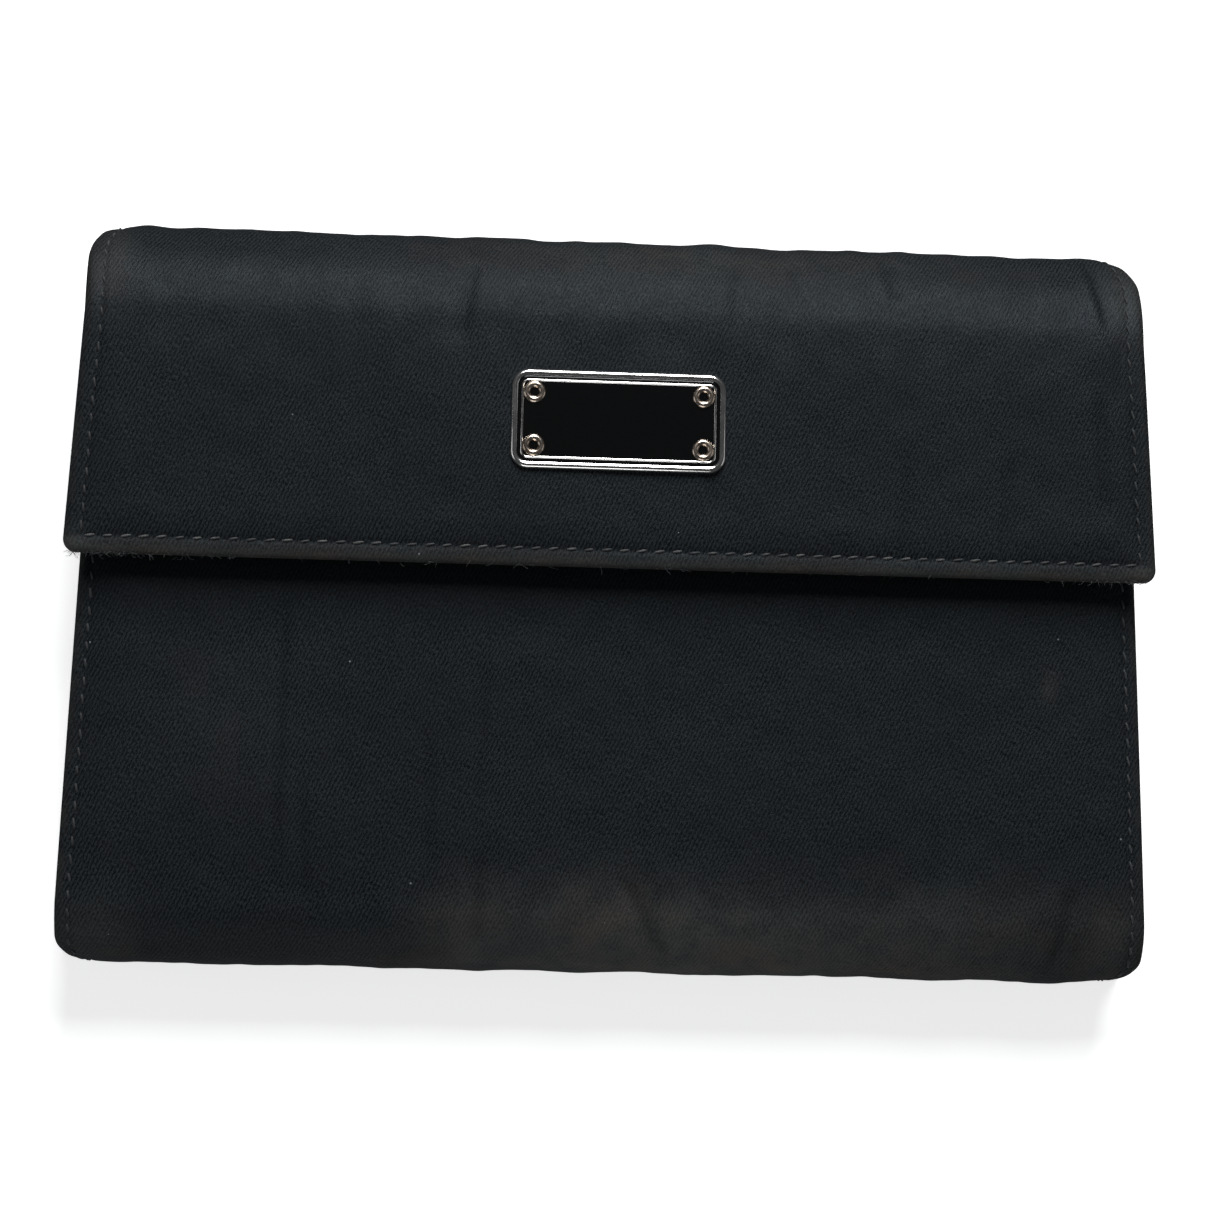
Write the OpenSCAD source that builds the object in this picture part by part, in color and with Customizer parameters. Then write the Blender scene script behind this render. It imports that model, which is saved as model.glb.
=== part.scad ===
// Trifold wallet, closed and lying on its back.
// X runs along the width, Y from the bottom fold to the top fold, Z up through the layers.
// The origin is on the underside, below the middle of the closed wallet.

/* [Closed wallet] */
// Width across the free edge of the flap
flap_edge_w = 141; // [136:0.5:146]
// Width at the top fold
top_fold_w = 138.5; // [136:0.5:146]
// Width at the bottom fold
bottom_fold_w = 141.2; // [136:0.2:146]
// Width of the front panel where the flap's edge crosses it
front_mid_w = 138; // [134:0.5:144]
// Height from fold to fold
wallet_h = 95.5; // [92:0.5:100]
// Thickness from the underside to the flap's face
wallet_t = 20; // [19.5:0.5:24]
// Length of the flap from the top fold to its free edge
flap_l = 44; // [42:0.5:47]
// Length of the front panel from the bottom fold to its tucked end
front_l = 84; // [78:0.5:86]
// Radius of the corners of the flap's free edge and of the tucked end
corner_r = 1.6; // [0.5:0.1:3]
// Radius of the wallet's corners at the folds, seen from above
fold_corner_r = 3.3; // [1:0.1:5]
// Radius of the two folds next to the back panel
back_fold_r = 3; // [2.5:0.1:3.5]
// Radius of the two folds next to the flap and to the front panel
face_fold_r = 6; // [5:0.1:6.5]

/* [Layers] */
// Thickness of the nylon cover
cover_t = 0.6; // [0.4:0.05:0.7]
// Thickness of the stiffening board
board_t = 0.8; // [0.6:0.05:1]
// Thickness of the lining
lining_t = 0.4; // [0.3:0.05:0.5]
// Width of the cover's turned edge
turn_w = 1.5; // [1:0.1:2.5]
// Gap between the flap and the front panel, which the snap fastener fills
closure_gap = 2.6; // [2.4:0.05:2.8]
// Gap between the flap's edge and the stiff part of the front panel
flap_clear = 1; // [0.5:0.1:2]
// Gap left between pieces that move against each other
fold_gap = 0.3; // [0.2:0.05:0.5]

/* [Note compartment] */
// Room for notes on each side of the divider
note_gap = 0.9; // [0.6:0.05:1]
// Width of the bindings that close the compartment at its sides and bottom
binding_w = 2.4; // [1.5:0.1:3]

/* [Card pockets] */
// Number of card pockets in the column on the left
card_count = 4; // [4:1:4]
// Width of the card column
card_col_w = 91; // [88:0.5:94]
// Height of each pocket, which takes a card of 54 mm
pocket_h = 55; // [54:0.5:56]
// How far each pocket's mouth lies below the one behind it
pocket_step = 9; // [8:0.25:10]
// Thickness of each pocket's leather
pocket_t = 0.45; // [0.3:0.05:0.5]
// Height of the folded hem at each pocket's mouth
hem_h = 5; // [3:0.5:6]

/* [Photo pocket] */
// Width of the photo pocket
photo_w = 39; // [36:0.5:42]
// Height of the photo pocket
photo_h = 80; // [70:0.5:82]
// Thickness of the photo pocket's leather frame
photo_t = 0.8; // [0.6:0.05:1]
// Width of the frame around the window
photo_rim = 5; // [4:0.5:7]
// Thickness of the clear window
film_t = 0.2; // [0.1:0.05:0.3]

/* [Coin pocket] */
// Depth of the coin pocket from its wall to the front panel's lining
coin_depth = 4.2; // [4.1:0.05:4.4]
// Thickness of the coin pocket's wall and gussets
coin_wall_t = 0.5; // [0.3:0.05:0.6]
// Distance from the side of the front panel to each gusset
coin_inset = 4; // [3:0.25:6]
// Distance from the bottom fold to the middle of the zip
zip_y_from_fold = 24; // [22:0.5:26]

/* [Zip] */
// Length of the zip's chain
zip_l = 120; // [100:1:124]
// Width of each tape
tape_w = 8; // [6:0.5:9]
// Thickness of each tape
tape_t = 0.4; // [0.3:0.05:0.5]
// Gap between the two rows of coil
chain_gap = 0.9; // [0.8:0.05:1.2]
// Width of each row of coil
coil_w = 1.7; // [1.4:0.1:2]
// Height of each row of coil
coil_h = 0.9; // [0.7:0.05:1]
// Length of the slider
slider_l = 9; // [7:0.5:11]
// Width of the slider
slider_w = 7; // [6.5:0.1:8]
// Length of the pull
pull_l = 15; // [12:0.5:18]
// Width of the pull
pull_w = 5.4; // [5:0.1:6]

/* [Plate on the flap] */
// Width of the plate
plate_w = 28; // [24:0.5:32]
// Height of the plate
plate_h = 13; // [11:0.5:14]
// Distance from the top fold to the plate's middle
plate_from_fold = 25; // [24:0.5:27]
// Width of the plate's raised rim
plate_rim = 0.9; // [0.6:0.1:1.4]
// Outer radius of each rivet's ring
rivet_r = 1.45; // [1.2:0.05:1.6]

/* [Snap fastener] */
// Distance from the flap's edge to the middle of the snap
snap_from_edge = 10; // [9.5:0.25:10.5]
// Radius of the snap's socket
socket_r = 5; // [4.6:0.1:5.4]
// Radius of the head of the snap's stud
stud_r = 1.95; // [1.8:0.05:2]

/* [Hidden] */
$fn = 48;
eps = 0.01;
arc_steps = 8;

// Colours
nylon = [0.11, 0.125, 0.137];
lining_black = [0.07, 0.07, 0.075];
leather = [0.09, 0.085, 0.085];
board_grey = [0.55, 0.52, 0.47];
steel = [0.78, 0.78, 0.76];
enamel = [0.03, 0.03, 0.035];
tape_black = [0.06, 0.06, 0.07];
clear = [0.8, 0.85, 0.88, 0.4];

// Folds: the axis of each hinge is at the middle of its fold's radius
fold_y = wallet_h / 2;
back_axis_y = fold_y - back_fold_r;
face_axis_y = fold_y - face_fold_r;
flap_edge_y = fold_y - flap_l;
front_end_y = front_l - fold_y;
stiff_end_y = flap_edge_y - flap_clear;

// Layers of the back panel, from the table up
back_board_z = cover_t;
back_lining_z = back_board_z + board_t;
note_z = back_lining_z + lining_t;
divider_z = note_z + note_gap;
card_panel_z = divider_z + lining_t + note_gap;
cards_z = card_panel_z + lining_t;
inner_top_y = back_axis_y - 2.5;
inner_bottom_y = -back_axis_y + 0.5;
divider_drop = 2;
panel_drop = 1;
pocket_drop = 4;
pocket_inset = 1;
hem_t = 0.3;
lining_lap = 1;

// Layers of the flap, from its face down
flap_cover_z = wallet_t - cover_t;
flap_board_z = flap_cover_z - board_t;
flap_under_z = flap_board_z - lining_t;

// Layers of the front panel, from its face down
front_top_z = flap_under_z - closure_gap;
front_cover_z = front_top_z - cover_t;
front_board_z = front_cover_z - board_t;
front_lining_z = front_board_z - lining_t;
tuck_lining_z = front_cover_z - 2 * lining_t;
coin_floor_z = front_lining_z - coin_depth;
coin_wall_z = coin_floor_z - coin_wall_t;
coin_low_y = -face_axis_y + fold_gap;
coin_high_y = stiff_end_y - 1;
coin_x = front_mid_w / 2 - coin_inset;

// Widths of the inner pieces
inner_w = min(top_fold_w, front_mid_w) - 2 * turn_w - 2;
inner_left_x = -inner_w / 2;
photo_low = [inner_w / 2 - photo_w, inner_top_y - pocket_drop - photo_h, cards_z];
photo_high = [inner_w / 2 - pocket_inset, inner_top_y - pocket_drop, cards_z + photo_t];
film_lap = photo_rim - 2;
film_low = photo_low + [film_lap, film_lap, 0];
film_high = [photo_high[0] - film_lap, photo_high[1] - film_lap, cards_z + film_t];

// Zip: the coil lies below the tapes, on the side that faces the card pockets
zip_y = zip_y_from_fold - fold_y;
tape_z = coin_floor_z;
tape_lap = 3;
tape_inner_y = chain_gap / 2 + 0.1;
wall_edge_y = tape_inner_y + tape_w - tape_lap;
coil_z = tape_z - coil_h;
slide_gap = 0.2;
slider_plate_t = 0.55;
slider_low_z = coil_z - slide_gap - slider_plate_t;
slider_high_z = tape_z + tape_t + slide_gap;
slider_rest_x = zip_l / 2 - slider_l / 2 - 2.5;
slider_r = 2;
post_w = chain_gap - 2 * slide_gap;
post_l = 2.4;
post_from_end = 0.6;
lip_w = 0.45;
top_stop_l = 1.6;
bottom_stop_l = 2.4;
bridge_leg = 0.8;
bridge_t = 0.35;
bridge_drop = 1.25;
bridge_l = 4.4;
bridge_w = 1.2;
pull_t = 0.5;
pull_play = 0.15;
pull_z = slider_low_z - bridge_drop + bridge_t + pull_play;
eye_wall = 0.9;
eye_l = 3.6;
eye_clear = 1.3;
pull_hole_r = 1;

// Plate on the flap
plate_y = fold_y - plate_from_fold;
plate_t = 0.5;
plate_rim_t = 0.6;
plate_r = 1.5;
field_r = 1;
field_w = plate_w - 2 * plate_rim;
field_h = plate_h - 2 * plate_rim;
board_window = 3;
enamel_t = 0.4;
rivet_x = plate_w / 2 - 3;
rivet_y = plate_h / 2 - 3;
rivet_seat_t = 0.1;
rivet_hole_r = 0.5;
shank_r = 0.8;
tail_r = rivet_r - 0.1;
ring_t = 0.35;
backing_t = 0.4;
backing_margin = 1;

// Snap fastener
snap_y = flap_edge_y + snap_from_edge;
cap_t = 0.4;
cap_r = 4.5;
stem_r = 0.9;
socket_t = 1.7;
socket_roof = 0.4;
socket_bore_r = 2.4;
socket_mouth_r = socket_r - 0.8;
socket_mouth_t = 0.5;
stud_base_t = 0.5;
stud_base_r = 4;
stud_neck_r = 1.5;
stud_neck_h = 1.5;
stud_head_h = 0.6;
stud_top_r = stud_r - 0.4;
stem_l = 1.5;
spring_wire_r = 0.22;
spring_ring_r = 1.95;
spring_z = flap_under_z - socket_t + 0.3;

// Points of a round corner about [x, y], from angle a to angle b
function on_circle(x, y, r, a) = [x + r * cos(a), y + r * sin(a)];
function corner(x, y, r, a, b) = [for (i = [0:arc_steps]) on_circle(x, y, r, a + (b - a) * i / arc_steps)];

// Width at height y of a side that runs straight from [y1, w1] to [y2, w2]
function width_at(y, y1, w1, y2, w2) = w1 + (w2 - w1) * (y - y1) / (y2 - y1);
function flap_w(y) = width_at(y, fold_y, top_fold_w, flap_edge_y, flap_edge_w);
function front_w(y) = width_at(y, -fold_y, bottom_fold_w, flap_edge_y, front_mid_w);
function back_w(y) = width_at(y, -fold_y, bottom_fold_w, fold_y, top_fold_w);

// Outline with square corners at y1 and round ones of radius r at y2
function free_outline(y1, w1, y2, w2, r) = let (s = sign(y2 - y1), a = s > 0 ? 0 : 360)
    concat(
        [[-w1 / 2, y1], [w1 / 2, y1]],
        corner(w2 / 2 - r, y2 - s * r, r, a, a + s * 90),
        corner(-w2 / 2 + r, y2 - s * r, r, a + s * 90, a + s * 180)
    );

// Flat layer of that outline, from z up
module layer(z, t, y1, w1, y2, w2, r) {
    translate([0, 0, z]) linear_extrude(t) polygon(free_outline(y1, w1, y2, w2, r));
}

// Flat four-sided layer
module strip(z, t, y1, w1, y2, w2) {
    outline = [[-w1 / 2, y1], [w1 / 2, y1], [w2 / 2, y2], [-w2 / 2, y2]];
    translate([0, 0, z]) linear_extrude(t) polygon(outline);
}

// Box from one corner to the opposite one
module block(low, high) {
    translate(low) cube(high - low);
}

// Flat bar with round ends, along X
module round_bar(low, high) {
    r = (high[1] - low[1]) / 2;
    union() {
        block([low[0] + r, low[1], low[2]], [high[0] - r, high[1], high[2]]);
        for (x = [low[0] + r, high[0] - r])
            translate([x, low[1] + r, low[2]]) cylinder(r = r, h = high[2] - low[2]);
    }
}

// Rounded oblong, standing from z up
module oblong(w, h, r, z, t) {
    translate([0, 0, z]) union() {
        block([-w / 2 + r, -h / 2, 0], [w / 2 - r, h / 2, t]);
        block([-w / 2, -h / 2 + r, 0], [w / 2, h / 2 - r, t]);
        for (x = [-1, 1], y = [-1, 1])
            translate([x * (w / 2 - r), y * (h / 2 - r), 0]) cylinder(r = r, h = t);
    }
}

// Quarter of a round fold, in the quadrant that points out (+Y) and up or down (s = 1 or -1)
module quarter_fold(r, s) {
    intersection() {
        difference() {
            circle(r);
            circle(r - cover_t);
        }
        translate([fold_gap, s > 0 ? 0 : -r]) square([r, r]);
    }
}

// Section of a spine's cover on the +Y side, up to height top_z
module spine_section(top_z) {
    union() {
        translate([back_axis_y, back_fold_r]) quarter_fold(back_fold_r, -1);
        wall_h = top_z - back_fold_r - face_fold_r;
        translate([fold_y - cover_t, back_fold_r - eps]) square([cover_t, wall_h + 2 * eps]);
        translate([face_axis_y, top_z - face_fold_r]) quarter_fold(face_fold_r, 1);
    }
}

// Cover that runs round a spine from the back panel to a face panel
module spine_cover(w, top_z) {
    intersection() {
        translate([-w / 2, 0, 0]) rotate([90, 0, 90]) linear_extrude(w) spine_section(top_z);
        layer(-1, wallet_t + 2, 0, w, fold_y, w, fold_corner_r);
    }
}

module spine_lining(w, top_z) {
    lining_y = fold_y - cover_t;
    half_w = w / 2 - fold_corner_r;
    low_z = back_fold_r + fold_gap;
    high_z = top_z - face_fold_r - fold_gap;
    block([-half_w, lining_y - lining_t, low_z], [half_w, lining_y, high_z]);
}

// Back panel

module back_cover() {
    color(nylon) strip(0, cover_t, -back_axis_y, back_w(-back_axis_y), back_axis_y, back_w(back_axis_y));
}

module back_board() {
    color(board_grey) strip(back_board_z, board_t, inner_bottom_y, inner_w, inner_top_y, inner_w);
}

module back_lining() {
    w = inner_w + 2 * lining_lap;
    color(lining_black) strip(back_lining_z, lining_t, inner_bottom_y, w, inner_top_y, w);
}

module edge_binding(side) {
    inner_x = inner_w / 2 - binding_w;
    low = [inner_x, inner_bottom_y, note_z];
    high = [inner_w / 2, inner_top_y, card_panel_z];
    color(leather) mirror([side > 0 ? 0 : 1, 0, 0]) block(low, high);
}

module left_edge_binding() {
    edge_binding(-1);
}

module right_edge_binding() {
    edge_binding(1);
}

module bottom_edge_binding() {
    half_w = inner_w / 2 - binding_w;
    color(leather)
        block([-half_w, inner_bottom_y, note_z], [half_w, inner_bottom_y + binding_w, card_panel_z]);
}

module note_divider() {
    half_w = inner_w / 2 - binding_w;
    low = [-half_w, inner_bottom_y + binding_w, divider_z];
    color(lining_black) block(low, [half_w, inner_top_y - divider_drop, divider_z + lining_t]);
}

module card_panel() {
    low = [-inner_w / 2, inner_bottom_y, card_panel_z];
    color(lining_black) block(low, [inner_w / 2, inner_top_y - panel_drop, cards_z]);
}

// Pocket i counts from 0 at the one behind, whose mouth is the highest
module card_pocket(i) {
    mouth_y = inner_top_y - pocket_drop - i * pocket_step;
    low_y = mouth_y - pocket_h;
    left = inner_left_x + pocket_inset;
    right = inner_left_x + card_col_w;
    z = cards_z + i * pocket_t;
    color(leather) union() {
        block([left, low_y, z], [right, mouth_y, z + pocket_t]);
        block([left, mouth_y - hem_h, z + pocket_t - eps], [right, mouth_y, z + pocket_t + hem_t]);
    }
}

module card_pocket_1() {
    card_pocket(0);
}

module card_pocket_2() {
    card_pocket(1);
}

module card_pocket_3() {
    card_pocket(2);
}

module card_pocket_4() {
    card_pocket(3);
}

module photo_pocket() {
    rim = [photo_rim, photo_rim, 0];
    deep = [0, 0, 1];
    color(leather) difference() {
        block(photo_low, photo_high);
        block(photo_low + rim - deep, photo_high - rim + deep);
        block(film_low - deep, film_high);
    }
}

module photo_window() {
    color(clear) block(film_low, film_high);
}

// Spines

module top_spine_cover() {
    color(nylon) spine_cover(top_fold_w, wallet_t);
}

module top_spine_lining() {
    color(lining_black) spine_lining(top_fold_w, wallet_t);
}

module bottom_spine_cover() {
    color(nylon) mirror([0, 1, 0]) spine_cover(bottom_fold_w, front_top_z);
}

module bottom_spine_lining() {
    color(lining_black) mirror([0, 1, 0]) spine_lining(bottom_fold_w, front_top_z);
}

// Flap

// Layer of the flap that stays m inside its outline, and reaches past the fold's axis by over
module flap_layer(z, t, m, over = 0) {
    edge_y = flap_edge_y + m;
    start_y = face_axis_y + over;
    layer(z, t, start_y, flap_w(start_y) - 2 * m, edge_y, flap_w(edge_y) - 2 * m, corner_r);
}

// Holes through the layers that the plate's rivets pass
module rivet_places() {
    for (x = [-1, 1], y = [-1, 1]) translate([x * rivet_x, plate_y + y * rivet_y, 0]) children();
}

module flap_cover() {
    color(nylon) difference() {
        flap_layer(flap_under_z, wallet_t - flap_under_z, 0);
        flap_layer(flap_under_z - 1, flap_cover_z - flap_under_z + 1, turn_w, 1);
        rivet_places() translate([0, 0, flap_cover_z - 1]) cylinder(r = shank_r, h = cover_t + 2);
    }
}

module flap_board() {
    color(board_grey) difference() {
        flap_layer(flap_board_z, board_t, turn_w);
        translate([0, plate_y, flap_board_z - 1])
            oblong(plate_w + board_window, plate_h + board_window, plate_r, 0, board_t + 2);
        translate([0, snap_y, flap_board_z - 1]) cylinder(r = cap_r + fold_gap, h = board_t + 2);
    }
}

module flap_lining() {
    color(lining_black) difference() {
        flap_layer(flap_under_z, lining_t, turn_w);
        translate([0, snap_y, flap_under_z - 1]) cylinder(r = stem_r, h = lining_t + 2);
    }
}

module plaque_plate() {
    color(steel) translate([0, plate_y, 0]) difference() {
        oblong(plate_w, plate_h, plate_r, wallet_t, plate_t + plate_rim_t);
        difference() {
            oblong(field_w, field_h, field_r, wallet_t + plate_t, plate_rim_t + 1);
            translate([0, -plate_y, wallet_t]) rivet_places()
                cylinder(r = rivet_r, h = plate_t + rivet_seat_t);
        }
        translate([0, -plate_y, wallet_t - 1]) rivet_places()
            cylinder(r = shank_r, h = plate_t + plate_rim_t + 2);
    }
}

module plaque_enamel() {
    color(enamel) difference() {
        translate([0, plate_y, 0]) oblong(field_w, field_h, field_r, wallet_t + plate_t, enamel_t);
        rivet_places() translate([0, 0, wallet_t]) cylinder(r = rivet_r, h = plate_t + plate_rim_t + 1);
    }
}

// Hollow rivet: a ring on the plate's face, a shank through the layers and a tail behind them
module plaque_rivets() {
    tail_z = flap_cover_z - backing_t - ring_t;
    face_z = wallet_t + plate_t + rivet_seat_t;
    color(steel) rivet_places() translate([0, 0, tail_z]) difference() {
        union() {
            translate([0, 0, face_z - tail_z]) cylinder(r = rivet_r, h = ring_t);
            cylinder(r = shank_r, h = face_z - tail_z + eps);
            cylinder(r = tail_r, h = ring_t);
        }
        translate([0, 0, -1]) cylinder(r = rivet_hole_r, h = face_z - tail_z + ring_t + 2);
    }
}

module plaque_backing() {
    w = plate_w + 2 * backing_margin;
    h = plate_h + 2 * backing_margin;
    color(steel) difference() {
        translate([0, plate_y, 0]) oblong(w, h, plate_r, flap_cover_z - backing_t, backing_t);
        rivet_places() translate([0, 0, flap_cover_z - backing_t - 1])
            cylinder(r = shank_r, h = backing_t + 2);
    }
}

module snap_socket() {
    low_z = flap_under_z - socket_t;
    color(steel) translate([0, snap_y, 0]) difference() {
        union() {
            translate([0, 0, low_z]) cylinder(r = socket_mouth_r, h = socket_t);
            translate([0, 0, low_z + socket_mouth_t]) cylinder(r = socket_r, h = socket_t - socket_mouth_t);
        }
        translate([0, 0, low_z - 1]) cylinder(r = socket_bore_r, h = socket_t - socket_roof + 1);
        translate([0, 0, low_z]) cylinder(r = stem_r, h = socket_t + 1);
    }
}

module snap_socket_cap() {
    color(steel) translate([0, snap_y, 0]) union() {
        translate([0, 0, flap_board_z]) cylinder(r = cap_r, h = cap_t);
        translate([0, 0, flap_under_z - socket_roof]) cylinder(r = stem_r, h = lining_t + socket_roof + eps);
    }
}

// Ring spring that grips the stud behind its head
module snap_spring() {
    ring = [spring_ring_r, 0];
    color(steel) translate([0, snap_y, spring_z])
        rotate_extrude() translate(ring) circle(spring_wire_r, $fn = 16);
}

// Front panel

// Layer of the front panel between two heights, m inside its sides
module front_layer(z, t, y1, y2, m) {
    strip(z, t, y1, front_w(y1) - 2 * m, y2, front_w(y2) - 2 * m);
}

module front_cover() {
    low_y = -face_axis_y;
    inner_t = front_cover_z - front_lining_z + 1;
    color(nylon) difference() {
        front_layer(front_lining_z, front_top_z - front_lining_z, low_y, stiff_end_y, 0);
        front_layer(front_lining_z - 1, inner_t, low_y - 1, stiff_end_y + 1, turn_w);
    }
}

module front_board() {
    color(board_grey) front_layer(front_board_z, board_t, -face_axis_y, stiff_end_y, turn_w);
}

module front_lining() {
    color(lining_black) front_layer(front_lining_z, lining_t, -face_axis_y, stiff_end_y, turn_w);
}

// Soft end of the front panel, m inside its sides and its end, starting over before the stiff part's end
module tuck_layer(z, t, m, over = 0) {
    end_y = front_end_y - m;
    start_y = stiff_end_y - over;
    layer(z, t, start_y, front_w(start_y) - 2 * m, end_y, front_w(end_y) - 2 * m, corner_r);
}

module front_tuck_cover() {
    color(nylon) difference() {
        tuck_layer(tuck_lining_z, front_top_z - tuck_lining_z, 0);
        tuck_layer(tuck_lining_z - 1, front_cover_z - tuck_lining_z + 1, turn_w, 1);
        translate([0, snap_y, front_cover_z - 1]) cylinder(r = stem_r, h = cover_t + 2);
    }
}

module front_tuck_lining() {
    color(lining_black) tuck_layer(tuck_lining_z, lining_t, turn_w);
}

module snap_stud() {
    color(steel) translate([0, snap_y, front_top_z]) difference() {
        union() {
            cylinder(r = stud_base_r, h = stud_base_t);
            cylinder(r = stud_neck_r, h = stud_neck_h + eps);
            translate([0, 0, stud_neck_h]) cylinder(r1 = stud_r, r2 = stud_top_r, h = stud_head_h);
        }
        translate([0, 0, -1]) cylinder(r = stem_r, h = 1 + stem_l);
    }
}

module snap_stud_cap() {
    color(steel) translate([0, snap_y, 0]) union() {
        translate([0, 0, front_cover_z - cap_t]) cylinder(r = cap_r, h = cap_t);
        translate([0, 0, front_cover_z - eps]) cylinder(r = stem_r, h = cover_t + stem_l + eps);
    }
}

// Coin pocket, on the inner side of the front panel

module coin_gusset(side) {
    low = [coin_x - coin_wall_t, coin_low_y, coin_floor_z];
    color(leather) mirror([side > 0 ? 0 : 1, 0, 0]) block(low, [coin_x, coin_high_y, front_lining_z]);
}

module coin_gusset_left() {
    coin_gusset(-1);
}

module coin_gusset_right() {
    coin_gusset(1);
}

module coin_gusset_bottom() {
    half_w = coin_x - coin_wall_t;
    low = [-half_w, coin_low_y, coin_floor_z];
    color(leather) block(low, [half_w, coin_low_y + coin_wall_t, front_lining_z]);
}

module coin_gusset_top() {
    half_w = coin_x - coin_wall_t;
    low = [-half_w, coin_high_y - coin_wall_t, coin_floor_z];
    color(leather) block(low, [half_w, coin_high_y, front_lining_z]);
}

module coin_pocket_wall() {
    color(leather) block([-coin_x, coin_low_y, coin_wall_z], [coin_x, zip_y - wall_edge_y, coin_floor_z]);
}

module coin_pocket_band() {
    color(leather) block([-coin_x, zip_y + wall_edge_y, coin_wall_z], [coin_x, coin_high_y, coin_floor_z]);
}

module zip_tape(side) {
    half_l = coin_x - coin_wall_t;
    low = [-half_l, tape_inner_y, tape_z];
    high = [half_l, tape_inner_y + tape_w, tape_z + tape_t];
    color(tape_black) translate([0, zip_y, 0]) mirror([0, side > 0 ? 0 : 1, 0]) block(low, high);
}

module zip_tape_lower() {
    zip_tape(-1);
}

module zip_tape_upper() {
    zip_tape(1);
}

module zip_coil(side) {
    low = [-zip_l / 2, chain_gap / 2, coil_z];
    high = [zip_l / 2, chain_gap / 2 + coil_w, tape_z];
    color(tape_black) translate([0, zip_y, 0]) mirror([0, side > 0 ? 0 : 1, 0]) block(low, high);
}

module zip_coil_lower() {
    zip_coil(-1);
}

module zip_coil_upper() {
    zip_coil(1);
}

// One small clamp on each row at the closed end
module zip_top_stops() {
    color(steel) translate([0, zip_y, 0]) for (side = [0, 1]) mirror([0, side, 0])
        block([zip_l / 2, chain_gap / 2, coil_z], [zip_l / 2 + top_stop_l, chain_gap / 2 + coil_w, tape_z]);
}

// One clamp over both rows at the open end
module zip_bottom_stop() {
    half_w = chain_gap / 2 + coil_w;
    low = [-zip_l / 2 - bottom_stop_l, -half_w, coil_z];
    color(steel) translate([0, zip_y, 0]) block(low, [-zip_l / 2, half_w, tape_z]);
}

// Slider: two plates round the coil, joined by a post between its rows, and a bridge for the pull
module zip_slider() {
    half_l = slider_l / 2;
    half_w = slider_w / 2;
    half_bridge = bridge_l / 2;
    bridge_y = bridge_w / 2;
    bridge_z = slider_low_z - bridge_drop;
    post_x = half_l - post_from_end - post_l;
    slider_top_z = slider_high_z + slider_plate_t;
    lip_l = half_l - slider_r;
    color(steel) translate([slider_rest_x, zip_y, 0]) union() {
        oblong(slider_l, slider_w, slider_r, slider_low_z, slider_plate_t);
        oblong(slider_l, slider_w, slider_r, slider_high_z, slider_plate_t);
        block([post_x, -post_w / 2, slider_low_z], [post_x + post_l, post_w / 2, slider_top_z]);
        for (side = [0, 1]) mirror([0, side, 0])
            block([-lip_l, half_w - lip_w, slider_low_z], [lip_l, half_w, tape_z - slide_gap]);
        block([-half_bridge, -bridge_y, bridge_z], [half_bridge, bridge_y, bridge_z + bridge_t]);
        for (x = [-half_bridge, half_bridge - bridge_leg])
            block([x, -bridge_y, bridge_z], [x + bridge_leg, bridge_y, slider_low_z + eps]);
    }
}

// Flat pull, whose end bar passes under the slider's bridge
module zip_pull() {
    eye_w = bridge_w + 2 * eye_clear;
    half_w = pull_w / 2;
    color(steel) translate([slider_rest_x, zip_y, pull_z]) difference() {
        union() {
            round_bar([-pull_l, -half_w, 0], [-eye_l, half_w, pull_t]);
            block([-eye_l - half_w, -half_w, 0], [eye_wall / 2, half_w, pull_t]);
        }
        block([-eye_wall / 2 - eye_l, -eye_w / 2, -1], [-eye_wall / 2, eye_w / 2, pull_t + 1]);
        translate([-pull_l + half_w, 0, -1]) cylinder(r = pull_hole_r, h = pull_t + 2);
    }
}

back_cover();
back_board();
back_lining();
left_edge_binding();
right_edge_binding();
bottom_edge_binding();
note_divider();
card_panel();
card_pocket_1();
card_pocket_2();
card_pocket_3();
card_pocket_4();
photo_pocket();
photo_window();
top_spine_cover();
top_spine_lining();
flap_cover();
flap_board();
flap_lining();
plaque_plate();
plaque_enamel();
plaque_rivets();
plaque_backing();
snap_socket();
snap_socket_cap();
snap_spring();
bottom_spine_cover();
bottom_spine_lining();
front_cover();
front_board();
front_lining();
front_tuck_cover();
front_tuck_lining();
snap_stud();
snap_stud_cap();
coin_gusset_left();
coin_gusset_right();
coin_gusset_bottom();
coin_gusset_top();
coin_pocket_wall();
coin_pocket_band();
zip_tape_lower();
zip_tape_upper();
zip_coil_lower();
zip_coil_upper();
zip_top_stops();
zip_bottom_stop();
zip_slider();
zip_pull();
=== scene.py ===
"""The looks of a closed trifold wallet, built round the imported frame: folded nylon covers with
turned and stitched edges, linings, card and photo pockets, the coin pocket's zip, snap and plaque."""
import math

import bpy
import numpy as np
from mathutils import Matrix, Vector


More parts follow.
